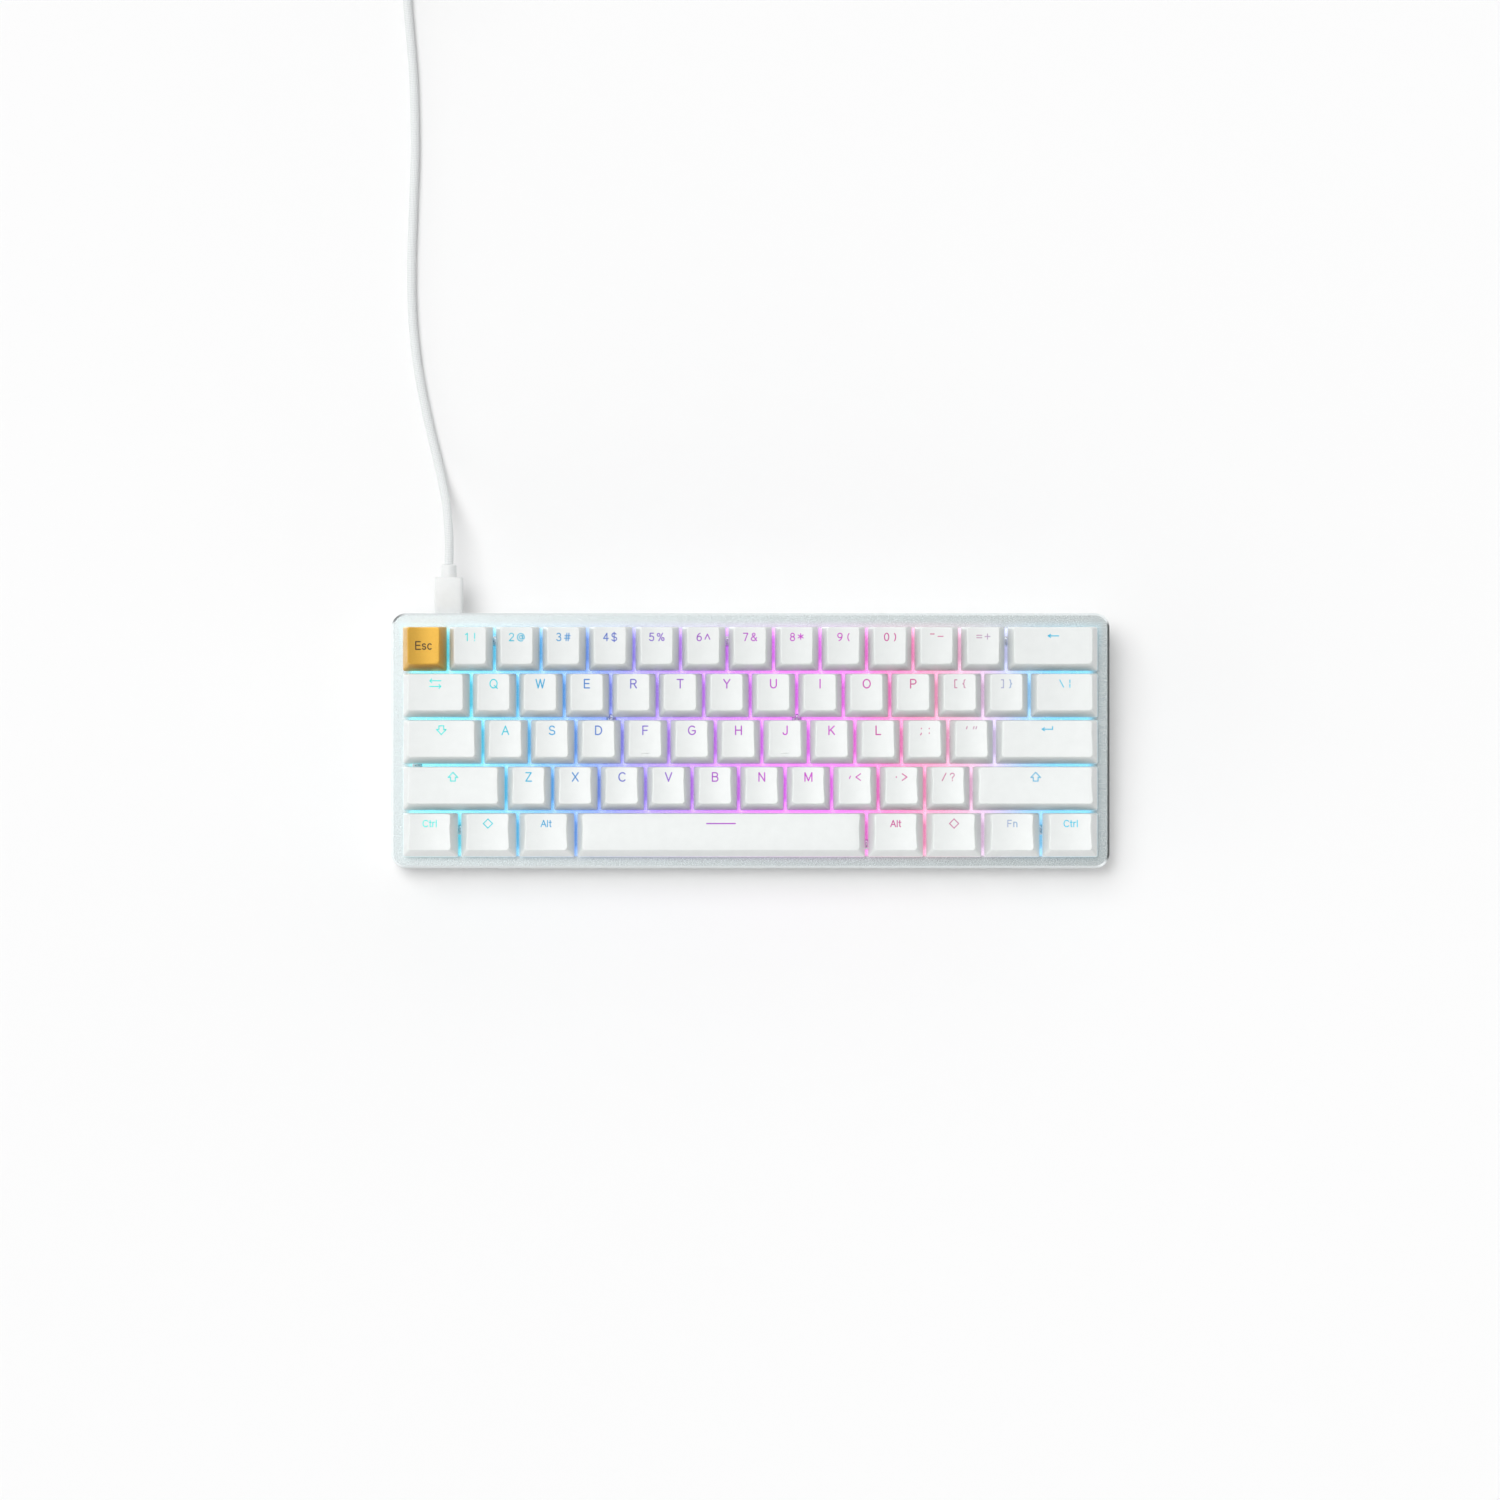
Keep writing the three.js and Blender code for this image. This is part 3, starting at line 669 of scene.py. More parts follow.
def make_sleeve(path):
    """A round tube along a path, with UVs in whole weave cells along and round it."""
    sides, cells_round, cell = 12, 8, 1.45
    normal = (path[1] - path[0]).orthogonal()
    rings, run = [], [0.0]
    for point, heading in zip(path, headings(path)):
        normal = (normal - heading * normal.dot(heading)).normalized()
        side = heading.cross(normal)
        outline = circle(CABLE_DIAMETER / 2, sides)
        rings.append([point + normal * across + side * up for across, up in outline])
    for a, b in zip(path, path[1:]):
        run.append(run[-1] + (b - a).length / cell)
    made = Build()
    made.shell(rings)
    lead = made.piece("cable_sleeve", "sleeve", BOTTOM, "cable_braid", "cable", "cable_coil",
                      matrix=DESK, sharp=60)
    columns = [(i / sides * cells_round, (i + 1) / sides * cells_round) for i in range(sides)]
    uvs = []
    for low, high in zip(run, run[1:]):
        for left, right in columns:
            uvs += [(left, low), (right, low), (right, high), (left, high)]
    for left, right in columns:
        uvs += [(right, 0), (left, 0), (0, 0)]
    for left, right in columns:
        uvs += [(left, run[-1]), (right, run[-1]), (0, run[-1])]
    lead.data.uv_layers.new(name="along").data.foreach_set("uv", [part for uv in uvs for part in uv])
    return lead


route = cable_route()
cable = make_sleeve(route)


def plug(width, height, length, relief_radius, relief_length, draw_metal):
    """A moulded plug along +Y from y = 0, with its metal end towards -Y."""
    made = Build()
    edges = [(0.7, 0.0), (0.2, 0.15), (0, 0.6), (0, length * 0.5)]
    edges += [(0, length - 0.6), (0.2, length - 0.15), (0.7, length)]
    made.lying(drawn_in(width, height, 1.7, edges, 0.6))
    end = length + relief_length
    profile = [
        (relief_radius - 0.4, length - 1), (relief_radius, length - 0.6), (relief_radius, end - 0.9),
        (relief_radius - 0.1, end - 0.45), (relief_radius - 0.35, end - 0.12), (relief_radius - 0.75, end),
        (CABLE_DIAMETER / 2 + 0.1, end),
    ]
    made.shell([[(x, y, -z) for x, z in circle(radius, 24)] for radius, y in profile])
    draw_metal(made)
    return made


def usb_c_metal(made):
    """The rounded shell, open at its end."""
    edges = [(0.9, -4.2), (0.45, -4.2), (0.45, -6.0), (0.1, -6.2), (0, -6.0), (0, 0.5)]
    made.lying(drawn_in(8.2, 2.3, 1.14, edges), steps=6, slot=1)


def usb_a_metal(made):
    """The square shell, its tongue and the four contacts on it."""
    thick = 0.4
    edges = [(thick, -1.0), (thick, -18.3), (thick * 0.5, -18.5), (0, -18.3), (0, 0.5)]
    made.lying(drawn_in(12, 4.5, 0.7, edges, 0.8), steps=3, slot=1)
    made.lying([(11.1, 1.9, 0.15, y) for y in (-17.6, -0.9)], z=-0.9, steps=2, slot=2)
    for x in (-3.75, -1.25, 1.25, 3.75):
        made.lying([(1.0, 0.16, 0.05, y) for y in (-17.2, -3)], x, 0.1, steps=1, slot=1)


usb_c = plug(width=11.7, height=6.6, length=PLUG_BODY + 0.6, relief_radius=3.1,
             relief_length=PLUG_RELIEF - 0.15, draw_metal=usb_c_metal)
usb_c_plug = usb_c.piece("usb_c_plug_moulding", "moulding nickel", BOTTOM, "plug_moulding", "usb_c_plug",
                         matrix=PLUG_PLACE)

usb_a = plug(width=15.6, height=7.6, length=25, relief_radius=2.9, relief_length=6.2,
             draw_metal=usb_a_metal)
a_low, a_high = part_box("usb_a_plug")
a_middle = (a_low + a_high) / 2 / MM
A_BODY_END = 31  # from the near end of the plug's CAD solid to the face that its metal leaves
a_place = Matrix.Translation((a_middle.x, a_low.y / MM + A_BODY_END, a_middle.z))
usb_a_plug = usb_a.piece("usb_a_plug_moulding", "moulding nickel tongue", BOTTOM, "plug_moulding",
                         "usb_a_plug", matrix=a_place @ Matrix.Rotation(math.pi, 4, "Z"))


def coil_tie():
    """A strap round the coil's section, at a place that the route's ends are clear of."""
    made = Build()
    thick, breadth, corner = 0.6, 9.0, 2.0
    width, height = COIL_COLUMNS * COIL_PITCH + 0.2, COIL_LAYERS * COIL_PITCH
    outer = rounded_rect(width + 2 * thick, height + thick, corner, 4)
    inner = rounded_rect(width, height - thick, corner - 0.8, 4)
    turn = Matrix.Translation((COIL_X, COIL_Y, 0)) @ Matrix.Rotation(math.radians(75), 4, "Z")
    rings = []
    for points, across in ((inner, -1), (outer, -1), (outer, 1), (inner, 1)):
        y, middle = across * breadth / 2, (height + thick) / 2
        rings.append([turn @ Vector((COIL_RADIUS + px, y, middle + pz)) for px, pz in points])
    made.band(rings)
    return made.piece("coil_tie", "tie", BOTTOM, "cable_braid", matrix=DESK)


tie = coil_tie()


# ---- Legends ----
# Each glyph's strokes, parted by semicolons, on a cell a hundred units high. A stroke is a run of points
# and of arcs; an arc has a middle, two radii, two angles in degrees and, if need be, a number of steps.
LETTER_S = "33 74.5 29 25.5 28 270, 33 24.5 33 24.5 90 -155"
LEFT_ARROW = "0 62, 115 62; 26 78, 0 62, 26 46"
GLYPHS = {
    "A": "0 0, 39 100, 78 0; 13 34, 65 34",
    "B": "0 53, 37 53, 37 26.5 28 26.5 90 -90, 0 0, 0 100, 35 100, 35 76.5 25 23.5 90 -90",
    "C": "42 50 42 50 45 315 22",
    "D": "0 0, 0 100, 27 100, 27 50 44 50 90 -90 14, 0 0",
    "E": "58 100, 0 100, 0 0, 60 0; 0 52, 53 52",
    "F": "57 100, 0 100, 0 0; 0 50, 50 50",
    "G": "42 50 42 50 48 318 22, 79 24, 79 46, 46 46",
    "H": "0 0, 0 100; 68 0, 68 100; 0 52, 68 52",
    "I": "0 0, 0 100",
    "J": "48 100, 48 25, 24 25 24 25 0 -170",
    "K": "0 0, 0 100; 62 100, 0 38; 21 58, 66 0",
    "L": "0 100, 0 0, 54 0",
    "M": "0 0, 0 100, 41 6, 82 100, 82 0",
    "N": "0 0, 0 100, 67 0, 67 100",
    "O": "42 50 42 50 90 450 28",
    "P": "0 0, 0 100, 36 100, 36 73 27 27 90 -90, 0 46",
    "Q": "42 50 42 50 90 450 28; 52 27, 86 -5",
    "R": "0 0, 0 100, 37 100, 37 74.5 26 25.5 90 -90, 0 49; 36 49, 66 0",
    "S": LETTER_S,
    "T": "0 100, 70 100; 35 100, 35 0",
    "U": "0 100, 0 34, 34 34 34 34 180 360, 68 100",
    "V": "0 100, 37 0, 74 100",
    "W": "0 100, 25 0, 50 100, 75 0, 100 100",
    "X": "0 0, 68 100; 0 100, 68 0",
    "Y": "0 100, 36 46, 72 100; 36 46, 36 0",
    "Z": "0 100, 62 100, 0 0, 66 0",
    "0": "29 50 29 50 90 450 24",
    "1": "0 80, 24 100, 24 0",
    "2": "29 72 28 28 165 -35, 0 0, 60 0",
    "3": "27 76 25 24 150 -90, 28 26.5 29 26.5 90 -155",
    "4": "45 0, 45 100, 0 30, 62 30",
    "5": "53 100, 10 100, 6 54, 28 32 29 32 122 -150",
    "6": "29 30 29 30 90 450 20; 50 30 50 70 100 180",
    "7": "0 100, 57 100, 20 0",
    "8": "29 76 23 24 90 450 18; 29 26 28 26 90 450 18",
    "9": "29 70 29 30 90 450 20; 8 70 50 70 0 -80",
    "!": "0 100, 0 32; 0 1, 0 7",
    "@": "50 46 20 23 90 450 16; 70 68, 70 34, 81 34 11 10 180 330, 48 46 46 50 -10 300 24",
    "#": "20 0, 32 100; 48 0, 60 100; 5 67, 76 67; 0 33, 71 33",
    "$": LETTER_S + "; 33 -12, 33 112",
    "%": "17 78 17 20 90 450 14; 73 22 17 20 90 450 14; 70 100, 20 0",
    "^": "0 20, 32 88, 64 20",
    "&": "72 0, 18 69, 32 83 18 17 215 -45 12, 15 47, 28 25 28 25 118 325 12, 70 44",
    "*": "33 20, 33 94; 0 38, 66 76; 0 76, 66 38",
    "(": "50 48 42 62 128 232",
    "-": "0 90, 50 90",
    "_": "0 58, 66 58",
    "=": "0 72, 66 72; 0 40, 66 40",
    "+": "0 56, 66 56; 33 22, 33 90",
    "[": "28 102, 0 102, 0 -4, 28 -4",
    "{": "30 102, 17 96, 15 60, 0 49, 15 38, 17 2, 30 -4",
    "\\": "0 100, 50 5",
    "|": "0 100, 0 62; 0 40, 0 2",
    ";": "10 71, 10 77; 10 12, 0 -12",
    ":": "0 71, 0 77; 0 9, 0 15",
    "'": "10 100, 0 70",
    '"': "10 100, 0 70; 44 100, 34 70",
    ",": "12 60, 0 30",
    "<": "62 92, 0 48, 62 4",
    ".": "0 45, 0 51",
    "/": "0 0, 50 100",
    "?": "26 75 26 25 170 -55, 27 44, 27 30; 27 0, 27 6",
    "t": "16 98, 16 14, 30 14 14 14 180 270; 0 70, 34 70",
    "r": "0 0, 0 72; 26 44 26 28 180 80",
    "l": "0 0, 0 100",
    "n": "0 0, 0 72; 24 47 24 25 180 0, 48 0",
    "s": "23 54 20 18 25 270, 23 18 22 18 90 -155",
    "c": "27 36 27 36 48 312",
    "~": LEFT_ARROW,
    "tab": "0 82, 120 82; 20 102, 0 82, 20 62; 0 20, 120 20; 100 40, 120 20, 100 0",
    "enter": LEFT_ARROW + "; 115 62, 115 90",
    "shift": "52 100, 104 45, 78 45, 78 5, 26 5, 26 45, 0 45, 52 100",
    "caps": "52 4, 104 59, 78 59, 78 99, 26 99, 26 59, 0 59, 52 4",
    "meta": "50 100, 100 50, 50 0, 0 50, 50 100",
    "space": "0 50, 310 50",
}


def read_strokes(text):
    strokes = []
    for stroke in text.split(";"):
        points = []
        for part in stroke.split(","):
            numbers = [float(number) for number in part.split()]
            places = [number / 100 for number in numbers[:4]]
            points += arc(*places, *numbers[4:]) if numbers[4:] else [tuple(places)]
        strokes.append(points)
    return strokes


STROKES = {glyph: read_strokes(text) for glyph, text in GLYPHS.items()}
for glyph, twin, width in ((")", "(", 0.3), ("]", "[", 0.28), ("}", "{", 0.3), (">", "<", 0.62)):
    STROKES[glyph] = [[(width - x, y) for x, y in stroke] for stroke in STROKES[twin]]

# How a legend is drawn, in millimetres: the cell's height, the pen's width and the gap between two glyphs.
LETTER_STYLE, PAIR_STYLE = (3.45, 0.52, 0), (3.05, 0.44, 0.44)
WORD_STYLE, SYMBOL_STYLE = (2.6, 0.44, 0.24), (3.75, 0.46, 0)
LEGEND_STYLES = {"Esc": (3.1, 0.5, 0.26), "space": (3.75, 0.55, 0)}
LEGEND_STYLES |= {word: WORD_STYLE for word in ("Ctrl", "Alt", "Fn")}
LEGEND_STYLES |= {symbol: SYMBOL_STYLE for symbol in ("tab", "enter", "shift", "caps", "meta", "~")}
NARROWEST = 0.66  # room that the narrowest of two symbols is given
LEGEND_SET_BACK = 3.95  # from a top's rear edge to the middle of its legend


def legend_strokes(legend, middle):
    """A legend's strokes in millimetres on its key, and the pen's width."""
    pair = len(legend) == 2
    size, pen, gap = LEGEND_STYLES.get(legend, PAIR_STYLE if pair else LETTER_STYLE)
    placed, at = [], 0.0
    for glyph in [legend] if legend in STROKES else legend:
        strokes = STROKES[glyph]
        breadth = max(x for stroke in strokes for x, _ in stroke)
        margin = max(NARROWEST - breadth, 0) / 2 if pair else 0
        at += margin if placed else 0
        placed += [[(x + at, y) for x, y in stroke] for stroke in strokes]
        at += breadth + margin + gap
    width = max(x for stroke in placed for x, _ in stroke)
    return [[((x - width / 2) * size, middle + (y - 0.5) * size) for x, y in s] for s in placed], pen


def split_at_corners(stroke):
    """Parts a stroke where it turns sharply, so that each part can have round ends."""
    sharpest = math.radians(32)
    parts, current = [], [stroke[0]]
    for before, here, after in zip(stroke, stroke[1:], stroke[2:]):
        current.append(here)
        a, b = Vector(here) - Vector(before), Vector(after) - Vector(here)
        if min(a.length, b.length) > 1e-6 and a.angle(b) > sharpest:
            parts.append(current)
            current = [here]
    current.append(stroke[-1])
    parts.append(current)
    return parts


def inlay(made, stroke, pen, key, slot):
    """A flush ribbon with round ends that follows the cap's surface."""
    half, longest_step = pen / 2, 0.8
    points = [Vector(stroke[0])]
    for target in stroke[1:]:
        start, target = points[-1], Vector(target)
        count = max(1, math.ceil((target - start).length / longest_step))
        points += [start.lerp(target, k / count) for k in range(1, count + 1)]
    points = [p for i, p in enumerate(points) if i == 0 or (p - points[i - 1]).length > 1e-4]
    stations = [(p, heading, half) for p, heading in zip(points, headings(points))]
    start, end = stations[0], stations[-1]
    for turn in (30, 60, 85):
        past, reach = half * math.sin(math.radians(turn)), half * math.cos(math.radians(turn))
        stations.insert(0, (points[0] - start[1] * past, start[1], reach))
        stations.append((points[-1] + end[1] * past, end[1], reach))
    # Across the stroke, in halves of the pen's width, and up from the cap's top.
    profile = [(1, -0.2), (1, 0.012), (0.8, 0.03), (-0.8, 0.03), (-1, 0.012), (-1, -0.2)]
    rings = []
    for p, along, reach in stations:
        side = Vector((-along.y, along.x)) * reach
        places = [(p.x + side.x * across, p.y + side.y * across, up) for across, up in profile]
        rings.append([key.on_top(x, y, up) for x, y, up in places])
    made.shell(rings, slot)


# ---- Keycaps ----
def cap_rings(key):
    """Rings from the middle of the hollow, down round the skirt's edge and up to the top's middle."""
    longest_step, fewest_steps = 1.6, 10
    edge_steps = max(fewest_steps, round(key.width / longest_step)), 9

    def level(share, inset=0.0):
        """The cap's section at a share of its height, drawn in by inset."""
        reach = share * (0.96 + 0.04 * share)
        width = key.width - reach * key.side_lean - 2 * inset
        depth = key.depth - reach * CAP_DEPTH_LEAN - 2 * inset
        corner = max(CAP_BASE_CORNER + (CAP_TOP_CORNER - CAP_BASE_CORNER) * share - inset, 0.3)
        ring = []
        for px, py in rounded_rect(width, depth, corner, 6, edge_steps):
            x, y = px, py + reach * CAP_SKEW
            # Where the top dips, the walls end lower and so further out.
            extra = (1 - key.surface(x, y) / key.height) * share
            if abs(px) > width / 2 - corner:
                x += math.copysign(extra * key.side_lean / 2, px)
            if abs(py) > depth / 2 - corner:
                y += math.copysign(extra * CAP_DEPTH_LEAN / 2, py) - extra * CAP_SKEW
            z = CAP_SKIRT + share * (key.height + (key.surface(x, y) - key.height) * share)
            ring.append((key.x + x, key.y + y, z))
        return ring

    def crown(scale, inset, drop):
        """A ring on the top face, scaled towards its middle."""
        ring = []
        for x, y, _ in level(1, inset):
            x, y = (x - key.x) * scale, (y - key.y - CAP_SKEW) * scale + CAP_SKEW
            ring.append(key.on_top(x, y, -drop))
        return ring

    hollow = (key.height - CAP_CROWN) / key.height
    rings = [[(key.x + (x - key.x) / 2, key.y + (y - key.y) / 2, z) for x, y, z in level(hollow, CAP_WALL)]]
    rings += [level(hollow, CAP_WALL + 0.5), level(hollow * 0.93, CAP_WALL), level(0.3, CAP_WALL),
              level(0.0, CAP_WALL - 0.1), level(0.0, 0.25)]
    rings += [level(share) for share in (0.02, 0.08, 0.2, 0.4, 0.6, 0.8)]
    rings.append(level(1 - CAP_FILLET * 1.15 / key.height))
    brim = CAP_FILLET * 0.9
    for turn in (25, 50, 72):
        angle = math.radians(turn)
        rings.append(crown(1, brim * (1 - math.cos(angle)), CAP_FILLET * (1 - math.sin(angle))))
    rings += [crown(scale, brim, 0) for scale in (1, 0.94, 0.86, 0.77, 0.67, 0.56, 0.45, 0.34, 0.22, 0.1)]
    return rings


def make_keycap(key):
    made = Build()
    made.shell(cap_rings(key))
    low, ceiling = CAP_SKIRT + 0.6, CAP_SKIRT + key.height - CAP_CROWN
    # The posts that are pressed onto the switch's stem and the stabiliser's.
    for x in (0, -key.reach, key.reach) if key.units >= STABILISED_UNITS else (0,):
        made.lathe([(2.4, low), (2.75, low + 0.3), (2.75, ceiling)], 20, key.x + x, key.y)
    gold = key.name == "esc"
    middle = CAP_SKEW if gold else CAP_SKEW + (key.depth - CAP_DEPTH_LEAN) / 2 - LEGEND_SET_BACK
    strokes, pen = legend_strokes(key.legend, middle)
    for stroke in strokes:
        for part in split_at_corners(stroke):
            inlay(made, part, pen, key, 1)
    if key.name in ("f", "j"):
        homing_bar(made, key)
    looks, slot = ("gold print", "accent_keycap") if gold else ("keycap legend", "keycap")
    made.piece(f"keycap_{key.name}", looks, key.node, slot, key.node)


def homing_bar(made, key):
    """A low ridge near the front of the top, for the first fingers to find."""
    length, width, rise, set_back = 3.4, 0.6, 0.45, 1.7
    y = CAP_SKEW - (key.depth - CAP_DEPTH_LEAN) / 2 + set_back
    rings = []
    for inset, up in ((0, -0.4), (0, rise * 0.5), (0.08, rise * 0.85), (0.2, rise)):
        outline = rounded_rect(length - 2 * inset, width - 2 * inset, width / 2 - inset - 0.01, 4)
        rings.append([key.on_top(px, y + py, up) for px, py in outline])
    made.shell(rings)


for key in KEYS:
    make_keycap(key)


# ---- Switches ----
def make_switch(key):
    """The housing, its ribs at the sides and in front, and the lamp behind the stem."""
    hole_w, hole_d = STEM_HOLE
    # From the floor of the stem's well, over the crown and down to the board.
    sections = [
        (hole_w, hole_d, 0.4, WELL_FLOOR), (hole_w, hole_d, 0.4, HOUSING_TOP - 0.25),
        (hole_w + 0.5, hole_d + 0.5, 0.6, HOUSING_TOP), (10.2, 9.4, 1.0, HOUSING_TOP),
        (10.9, 10.1, 1.2, HOUSING_TOP - 0.35), (12.9, 12.3, 1.1, 3.2), (13.5, 13.2, 1.0, 1.5),
        (13.7, 13.7, 0.8, 1.15), (15.2, 15.2, 0.6, 1.05), (15.6, 15.6, 0.6, 0.8),
        (15.6, 15.6, 0.6, 0.12), (13.5, 13.5, 0.4, 0.05), (13.5, 13.5, 0.4, -1.5), (13.3, 13.3, 0.5, -4.0),
        (12.6, 12.6, 0.6, BOARD_TOP + 0.02),
    ]
    housing = Build()
    housing.stack(sections, key.x, key.y)
    for side in (-1, 1):
        housing.block(1.1, 4.6, 0.9, 3.4, key.x + side * 6.75, key.y, 0.25)
        housing.block(2.6, 0.9, 1.0, 4.9, key.x + side * 3.4, key.y - 5.75, 0.25)
    housing.block(3.4, 1.5, 1.0, 3.9, key.x, key.y + 6.15, 0.5, slot=1)
    housing.piece(f"switch_housing_{key.name}", "housing led", BOTTOM, "circuit_board")


def make_stem(key):
    """The stem in its well, and the cross that the cap is pressed onto."""
    stem = Build()
    stem.block(*STEM, 0.25, HOUSING_TOP + 0.1, key.x, key.y, 0.4)
    top = min(CAP_SKIRT + key.height - CAP_CROWN - 0.6, HOUSING_TOP + 3.6)
    for width, depth in ((4.0, 1.2), (1.2, 4.0)):
        stem.block(width, depth, HOUSING_TOP - 0.2, top, key.x, key.y, 0.15)
    stem.piece(f"switch_stem_{key.name}", "stem", key.node, "keycap")


def make_stabiliser(key):
    """Two guides on the plate and the wire that ties them, under a wide cap."""
    made = Build()
    left, right = key.x - key.reach, key.x + key.reach
    outer, inner = rounded_rect(7.6, 12.4, 1.0, 3), rounded_rect(5.9, 7.4, 0.8, 3)
    bottom, top = 0.1, 4.2
    sections = [(inner, bottom), (inner, top), (outer, top), (outer, bottom)]
    for x in (left, right):
        made.band([[(x + px, key.y + py, z) for px, py in outline] for outline, z in sections])
    wire = Build()
    thick, height, bend = 1.6, 1.1, 2.5
    front, back = key.y - 7.0, key.y - 2.0
    plan = [(left, back), *arc(left + bend, front + bend, bend, bend, 180, 270, 5),
            *arc(right - bend, front + bend, bend, bend, 270, 360, 5), (right, back)]
    path = [Vector((x, y, height)) for x, y in plan]
    rings = []
    for p, along in zip(path, headings(path)):
        side = Vector((-along.y, along.x, 0))
        section = circle(thick / 2, 10)
        rings.append([tuple(p + side * across + Vector((0, 0, up))) for across, up in section])
    wire.shell(rings)
    made.piece(f"stabiliser_guides_{key.name}", "housing", BOTTOM, "circuit_board")
    wire.piece(f"stabiliser_wire_{key.name}", "steel", BOTTOM, "circuit_board")


for key in KEYS:
    make_switch(key)
    make_stem(key)
    if key.units >= STABILISED_UNITS:
        make_stabiliser(key)


# ---- Plate, board, case and feet ----
def make_plate():
    """The sheet, its bright chamfer, and the holes for the switches and the screws."""
    made = Build()
    low, edge, drop = -PLATE_THICKNESS, PLATE_CHAMFER, CHAMFER_DROP
    levels = [(0.25, low), (0, low + 0.2), (0, -drop), (0.05, -drop + 0.04), (edge - 0.05, -0.04), (edge, 0)]
    made.stack(drawn_in(CASE_WIDTH, PLATE_DEPTH, PLATE_CORNER, levels), steps=14)
    made.slots = [1 if min(made.verts[i][2] for i in face) < -0.01 else 0 for face in made.faces]
    plate = made.object("plate_sheet", "plate edge", sharp=20)
    holes = Build()
    for key in KEYS:
        holes.stack([(SWITCH_HOLE, SWITCH_HOLE, 0.4, z) for z in (-3, 1)], key.x, key.y)
    for x, y in PLATE_SCREWS:
        holes.lathe([(SCREW_HOLE_RADIUS, -3), (SCREW_HOLE_RADIUS, 1)], 20, x, y)
    cut(plate, holes.object("plate_cutter"))
    fit(plate, BOTTOM, "plate", "top_plate")


def make_screw(number, x, y):
    """A cross-head machine screw that holds the plate down."""
    made = Build()
    radius = 2.1
    dome = [(0.97, 0.05), (1, 0.2), (1, 0.55), (0.93, 0.85), (0.78, 1.08), (0.5, 1.22), (0.2, 1.28)]
    shank = [(0.85, -6.0), (0.95, -5.6), (0.95, 0.05)]
    made.lathe(shank + [(radius * share, z) for share, z in dome], 28, x, y)
    screw = made.object(f"plate_screw_{number}", "steel")
    # The cross is cut one slot at a time, since a cutter whose shells overlap leaves an empty mesh.
    for width, depth in ((2.3, 0.5), (0.5, 2.3)):
        slot = Build()
        slot.shell([[(x + px * share, y + py * share, z) for px, py in rounded_rect(width, depth, 0.08, 2)]
                    for share, z in ((0.45, 0.35), (1.0, 1.6))])
        cut(screw, slot.object("slot_cutter"))
    fit(screw, BOTTOM, "socket_metal")


def make_board():
    made = Build()
    low = BOARD_TOP - BOARD_THICKNESS
    levels = [(0.1, low), (0, low + 0.1), (0, BOARD_TOP - 0.1), (0.1, BOARD_TOP)]
    made.stack(drawn_in(BOARD_WIDTH, BOARD_DEPTH, 2, levels, 0), steps=5)
    made.piece("circuit_board", "board", BOTTOM, "circuit_board", "circuit_board_with_switches")


def make_case():
    """The tray: walls that lean in a little, a rim that follows the plate, and an opening for the plug."""
    made = Build()
    # Height of the rim half way back, just under the plate's lower face.
    rim = DECK_HEIGHT - (PLATE_THICKNESS + CASE_SEAM) / math.cos(TILT)
    rings = []

    def section(inset, corner, z, slope=0.0):
        outline = rounded_rect(CASE_WIDTH - 2 * inset, CASE_DEPTH - 2 * inset, corner, corner_steps=12)
        rings.append([(px, py, z + py * slope) for px, py in outline])

    # Up the inside from the floor, over the rim and down the outside.
    floor = FOOT_HEIGHT + CASE_FLOOR
    section(CASE_WALL + CASE_DRAFT + 1.5, 2.0, floor)
    section(CASE_WALL + CASE_DRAFT, 2.6, floor + 1.2)
    for inset, below_rim in ((CASE_WALL, 0.2), (CASE_WALL - 0.2, 0), (0.35, 0), (0.08, 0.1), (0, 0.4)):
        section(inset, PLATE_CORNER - inset, rim - below_rim, math.tan(TILT))
    for turn in range(0, 91, 15):
        angle = math.radians(turn)
        inset = CASE_DRAFT + CASE_EDGE * (1 - math.cos(angle))
        section(inset, PLATE_CORNER - inset, FOOT_HEIGHT + CASE_EDGE * (1 - math.sin(angle)))
    made.shell(rings)
    case = made.object("case_tray", "case", DESK, 25)
    hole = Build()
    hole.lying([(10.4, 4.6, 1.6, y) for y in (REAR_WALL_Y - 6, REAR_WALL_Y + 5)], PORT_X, PORT_Z)
    cut(case, hole.object("port_cutter"))
    fit(case, BOTTOM, "case_shell", "bottom_case")
    bosses = Build()
    for x, y in PLATE_SCREWS:
        place = DECK @ Vector((x, y, -PLATE_THICKNESS - CASE_SEAM))
        profile = [(2.4, FOOT_HEIGHT + 1.0), (2.3, place.z - 0.3), (1.0, place.z - 0.2)]
        bosses.lathe(profile, 20, place.x, place.y)
    bosses.piece("case_screw_bosses", "case", BOTTOM, "case_shell", matrix=DESK)


def make_foot(node):
    low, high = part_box(node)
    middle, size = (low + high) / 2 / MM, (high - low) / MM
    levels = [(0.5, 0), (0.15, 0.12), (0, 0.45), (0, size.z)]
    made = Build()
    made.stack(drawn_in(size.x, size.y, size.y / 2 - 0.02, levels), middle.x, middle.y, steps=10)
    made.piece(node + "_strip", "rubber", BOTTOM, "foot_rubber", node, matrix=DESK)


make_plate()
for number, (x, y) in enumerate(PLATE_SCREWS, 1):
    make_screw(number, x, y)
make_board()
make_case()
for node in ("front_foot", "rear_foot"):
    make_foot(node)
frame["nodes"]["usb_c_socket"].material_slots[0].material = LOOKS["nickel"]


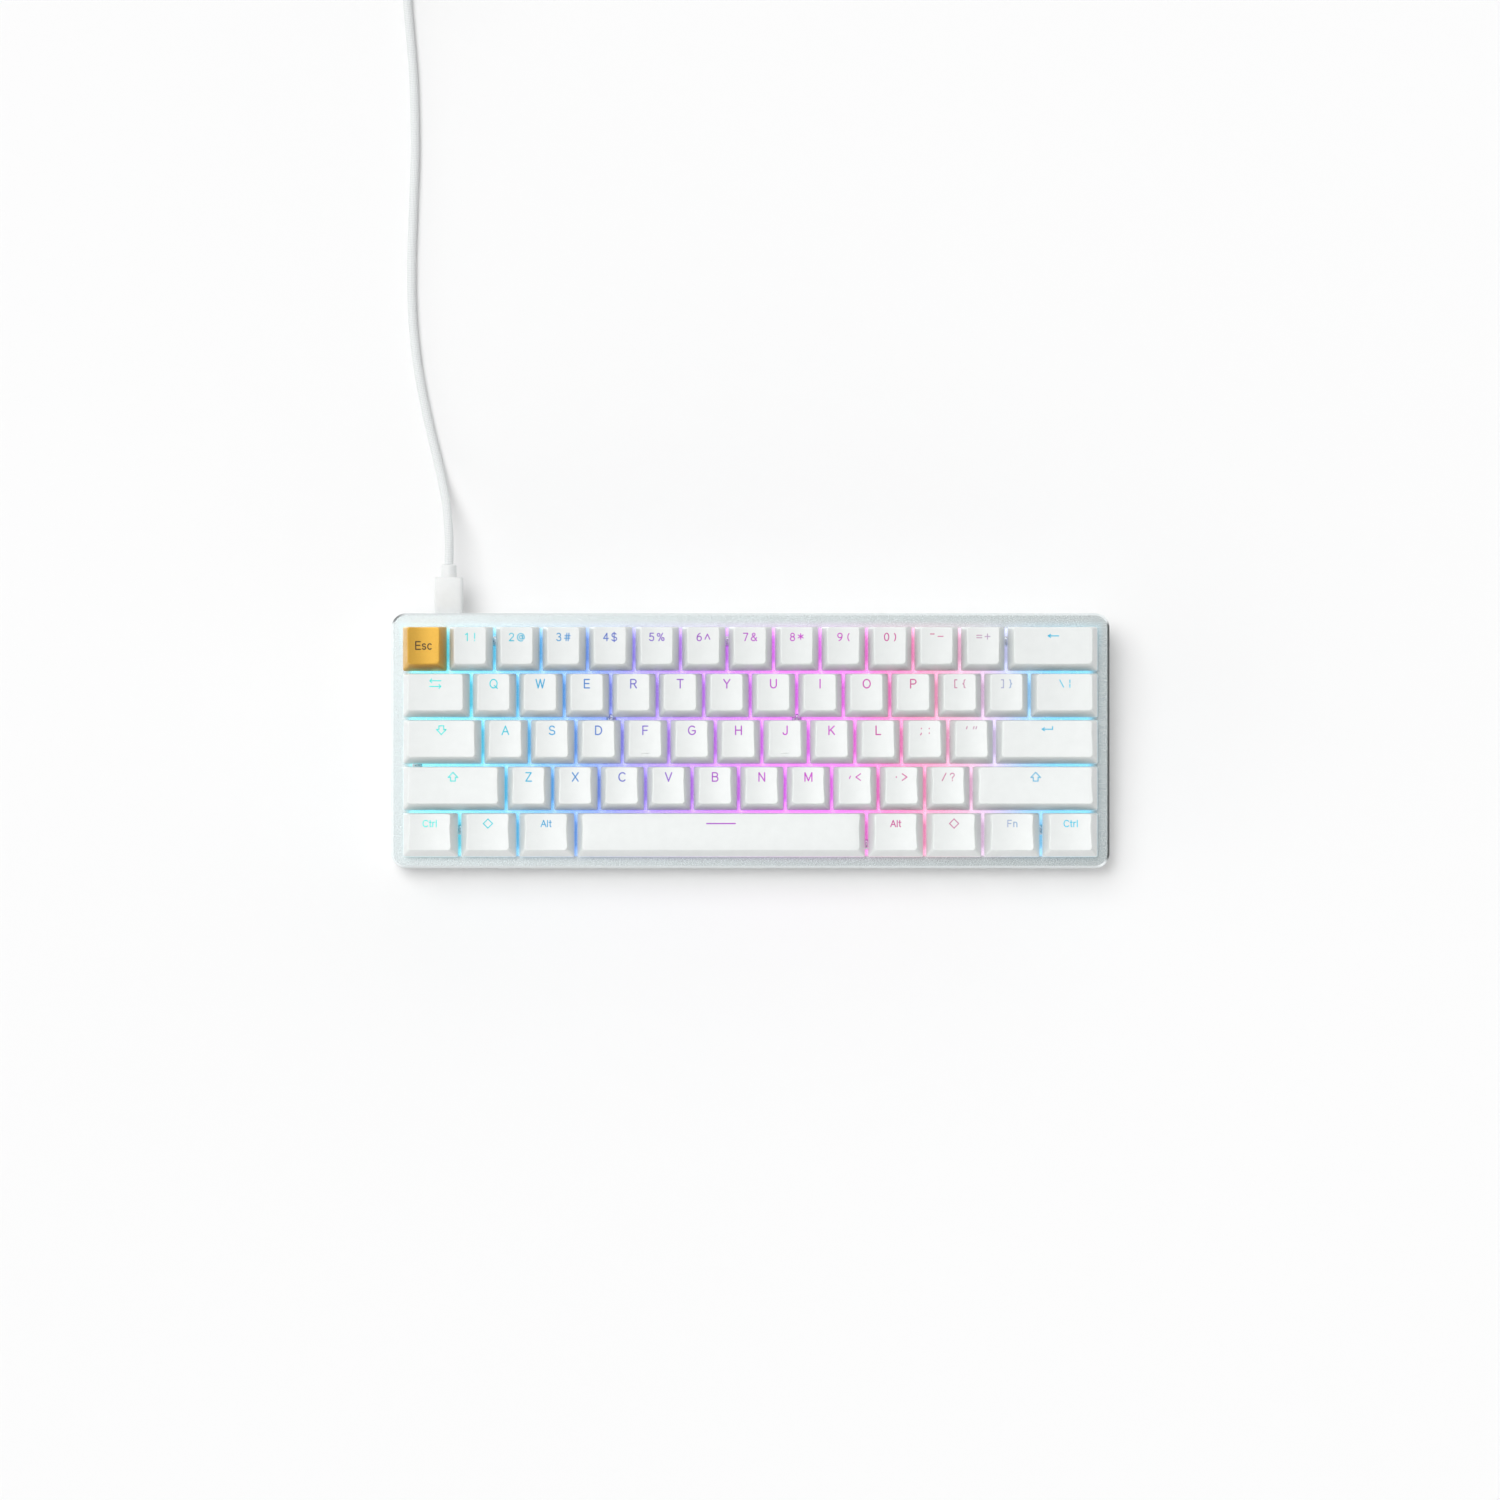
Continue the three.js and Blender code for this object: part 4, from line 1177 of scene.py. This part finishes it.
# ---- Floor and light ----
def make_stage():
    """The floor, a hair under the feet."""
    reach = 4000
    made = Build()
    corners = [(-reach, -reach, 0), (reach, -reach, 0), (reach, reach, 0), (-reach, reach, 0)]
    made.add(corners, [(0, 1, 2, 3)])
    made.object("floor", "floor", Matrix.Translation((0, 0, -0.02)))


# Brightness of the studio near the horizon, round from the left by way of the front.
HORIZON = [
    (0, 1.35), (0.16, 1.2), (0.22, 0.95), (0.28, 0.95), (0.32, 1.2), (0.38, 1.2), (0.45, 0.14), (0.53, 0.14),
    (0.58, 1.1), (0.68, 1.15), (0.75, 1.1), (0.86, 0.35), (0.92, 0.35), (0.96, 1.35),
]
SKY_LOW, SKY_HIGH = 0.22, 0.555
OVERHEAD = ((1.2, 1.2, 1.2, 1), (0.3, 0.3, 0.3, 1))  # the panel overhead, at its left and its right
SUN_STRENGTH, SUN_SPREAD, SUN_FROM = 1.55, 39.5, (-0.36, 0.31, 1.0)


def make_light():
    """A soft sun from the back left, a plain sky, a panel overhead and a ring of panels low down."""
    scene = bpy.context.scene
    scene.world = bpy.data.worlds.new("studio")
    wiring = Wiring(scene.world)
    # The direction looked in; z goes from 0 at the horizon to 1 straight up.
    x, y, z = wiring.parts(wiring.node("TexCoord").outputs["Generated"])
    round_from_left = wiring.math("MULTIPLY_ADD", wiring.math("ARCTAN2", y, x), 1 / math.tau, 0.5)
    panels = wiring.ramp(round_from_left, HORIZON)
    sky = wiring.ramp(wiring.range(z, 0.1, 0.6), [(0, SKY_LOW), (1, SKY_HIGH)])
    overhead = wiring.mix(wiring.range(x, -0.16, 0.14), *OVERHEAD)
    sky = wiring.mix(wiring.range(z, 0.9, 0.96), sky, overhead)
    low_down = wiring.range(wiring.math("ABSOLUTE", z), 0.38, 0.52, 1.0, 0.0)
    wiring.feed(wiring.nodes["Background"].inputs["Color"], wiring.mix(low_down, sky, panels))
    sun = bpy.data.lights.new("softbox", "SUN")
    sun.energy, sun.angle = SUN_STRENGTH, math.radians(SUN_SPREAD)
    light = bpy.data.objects.new("softbox", sun)
    light.rotation_euler = Vector(SUN_FROM).to_track_quat("Z", "Y").to_euler()
    scene.collection.objects.link(light)
    scene.view_settings.view_transform = "Standard"


make_stage()
make_light()
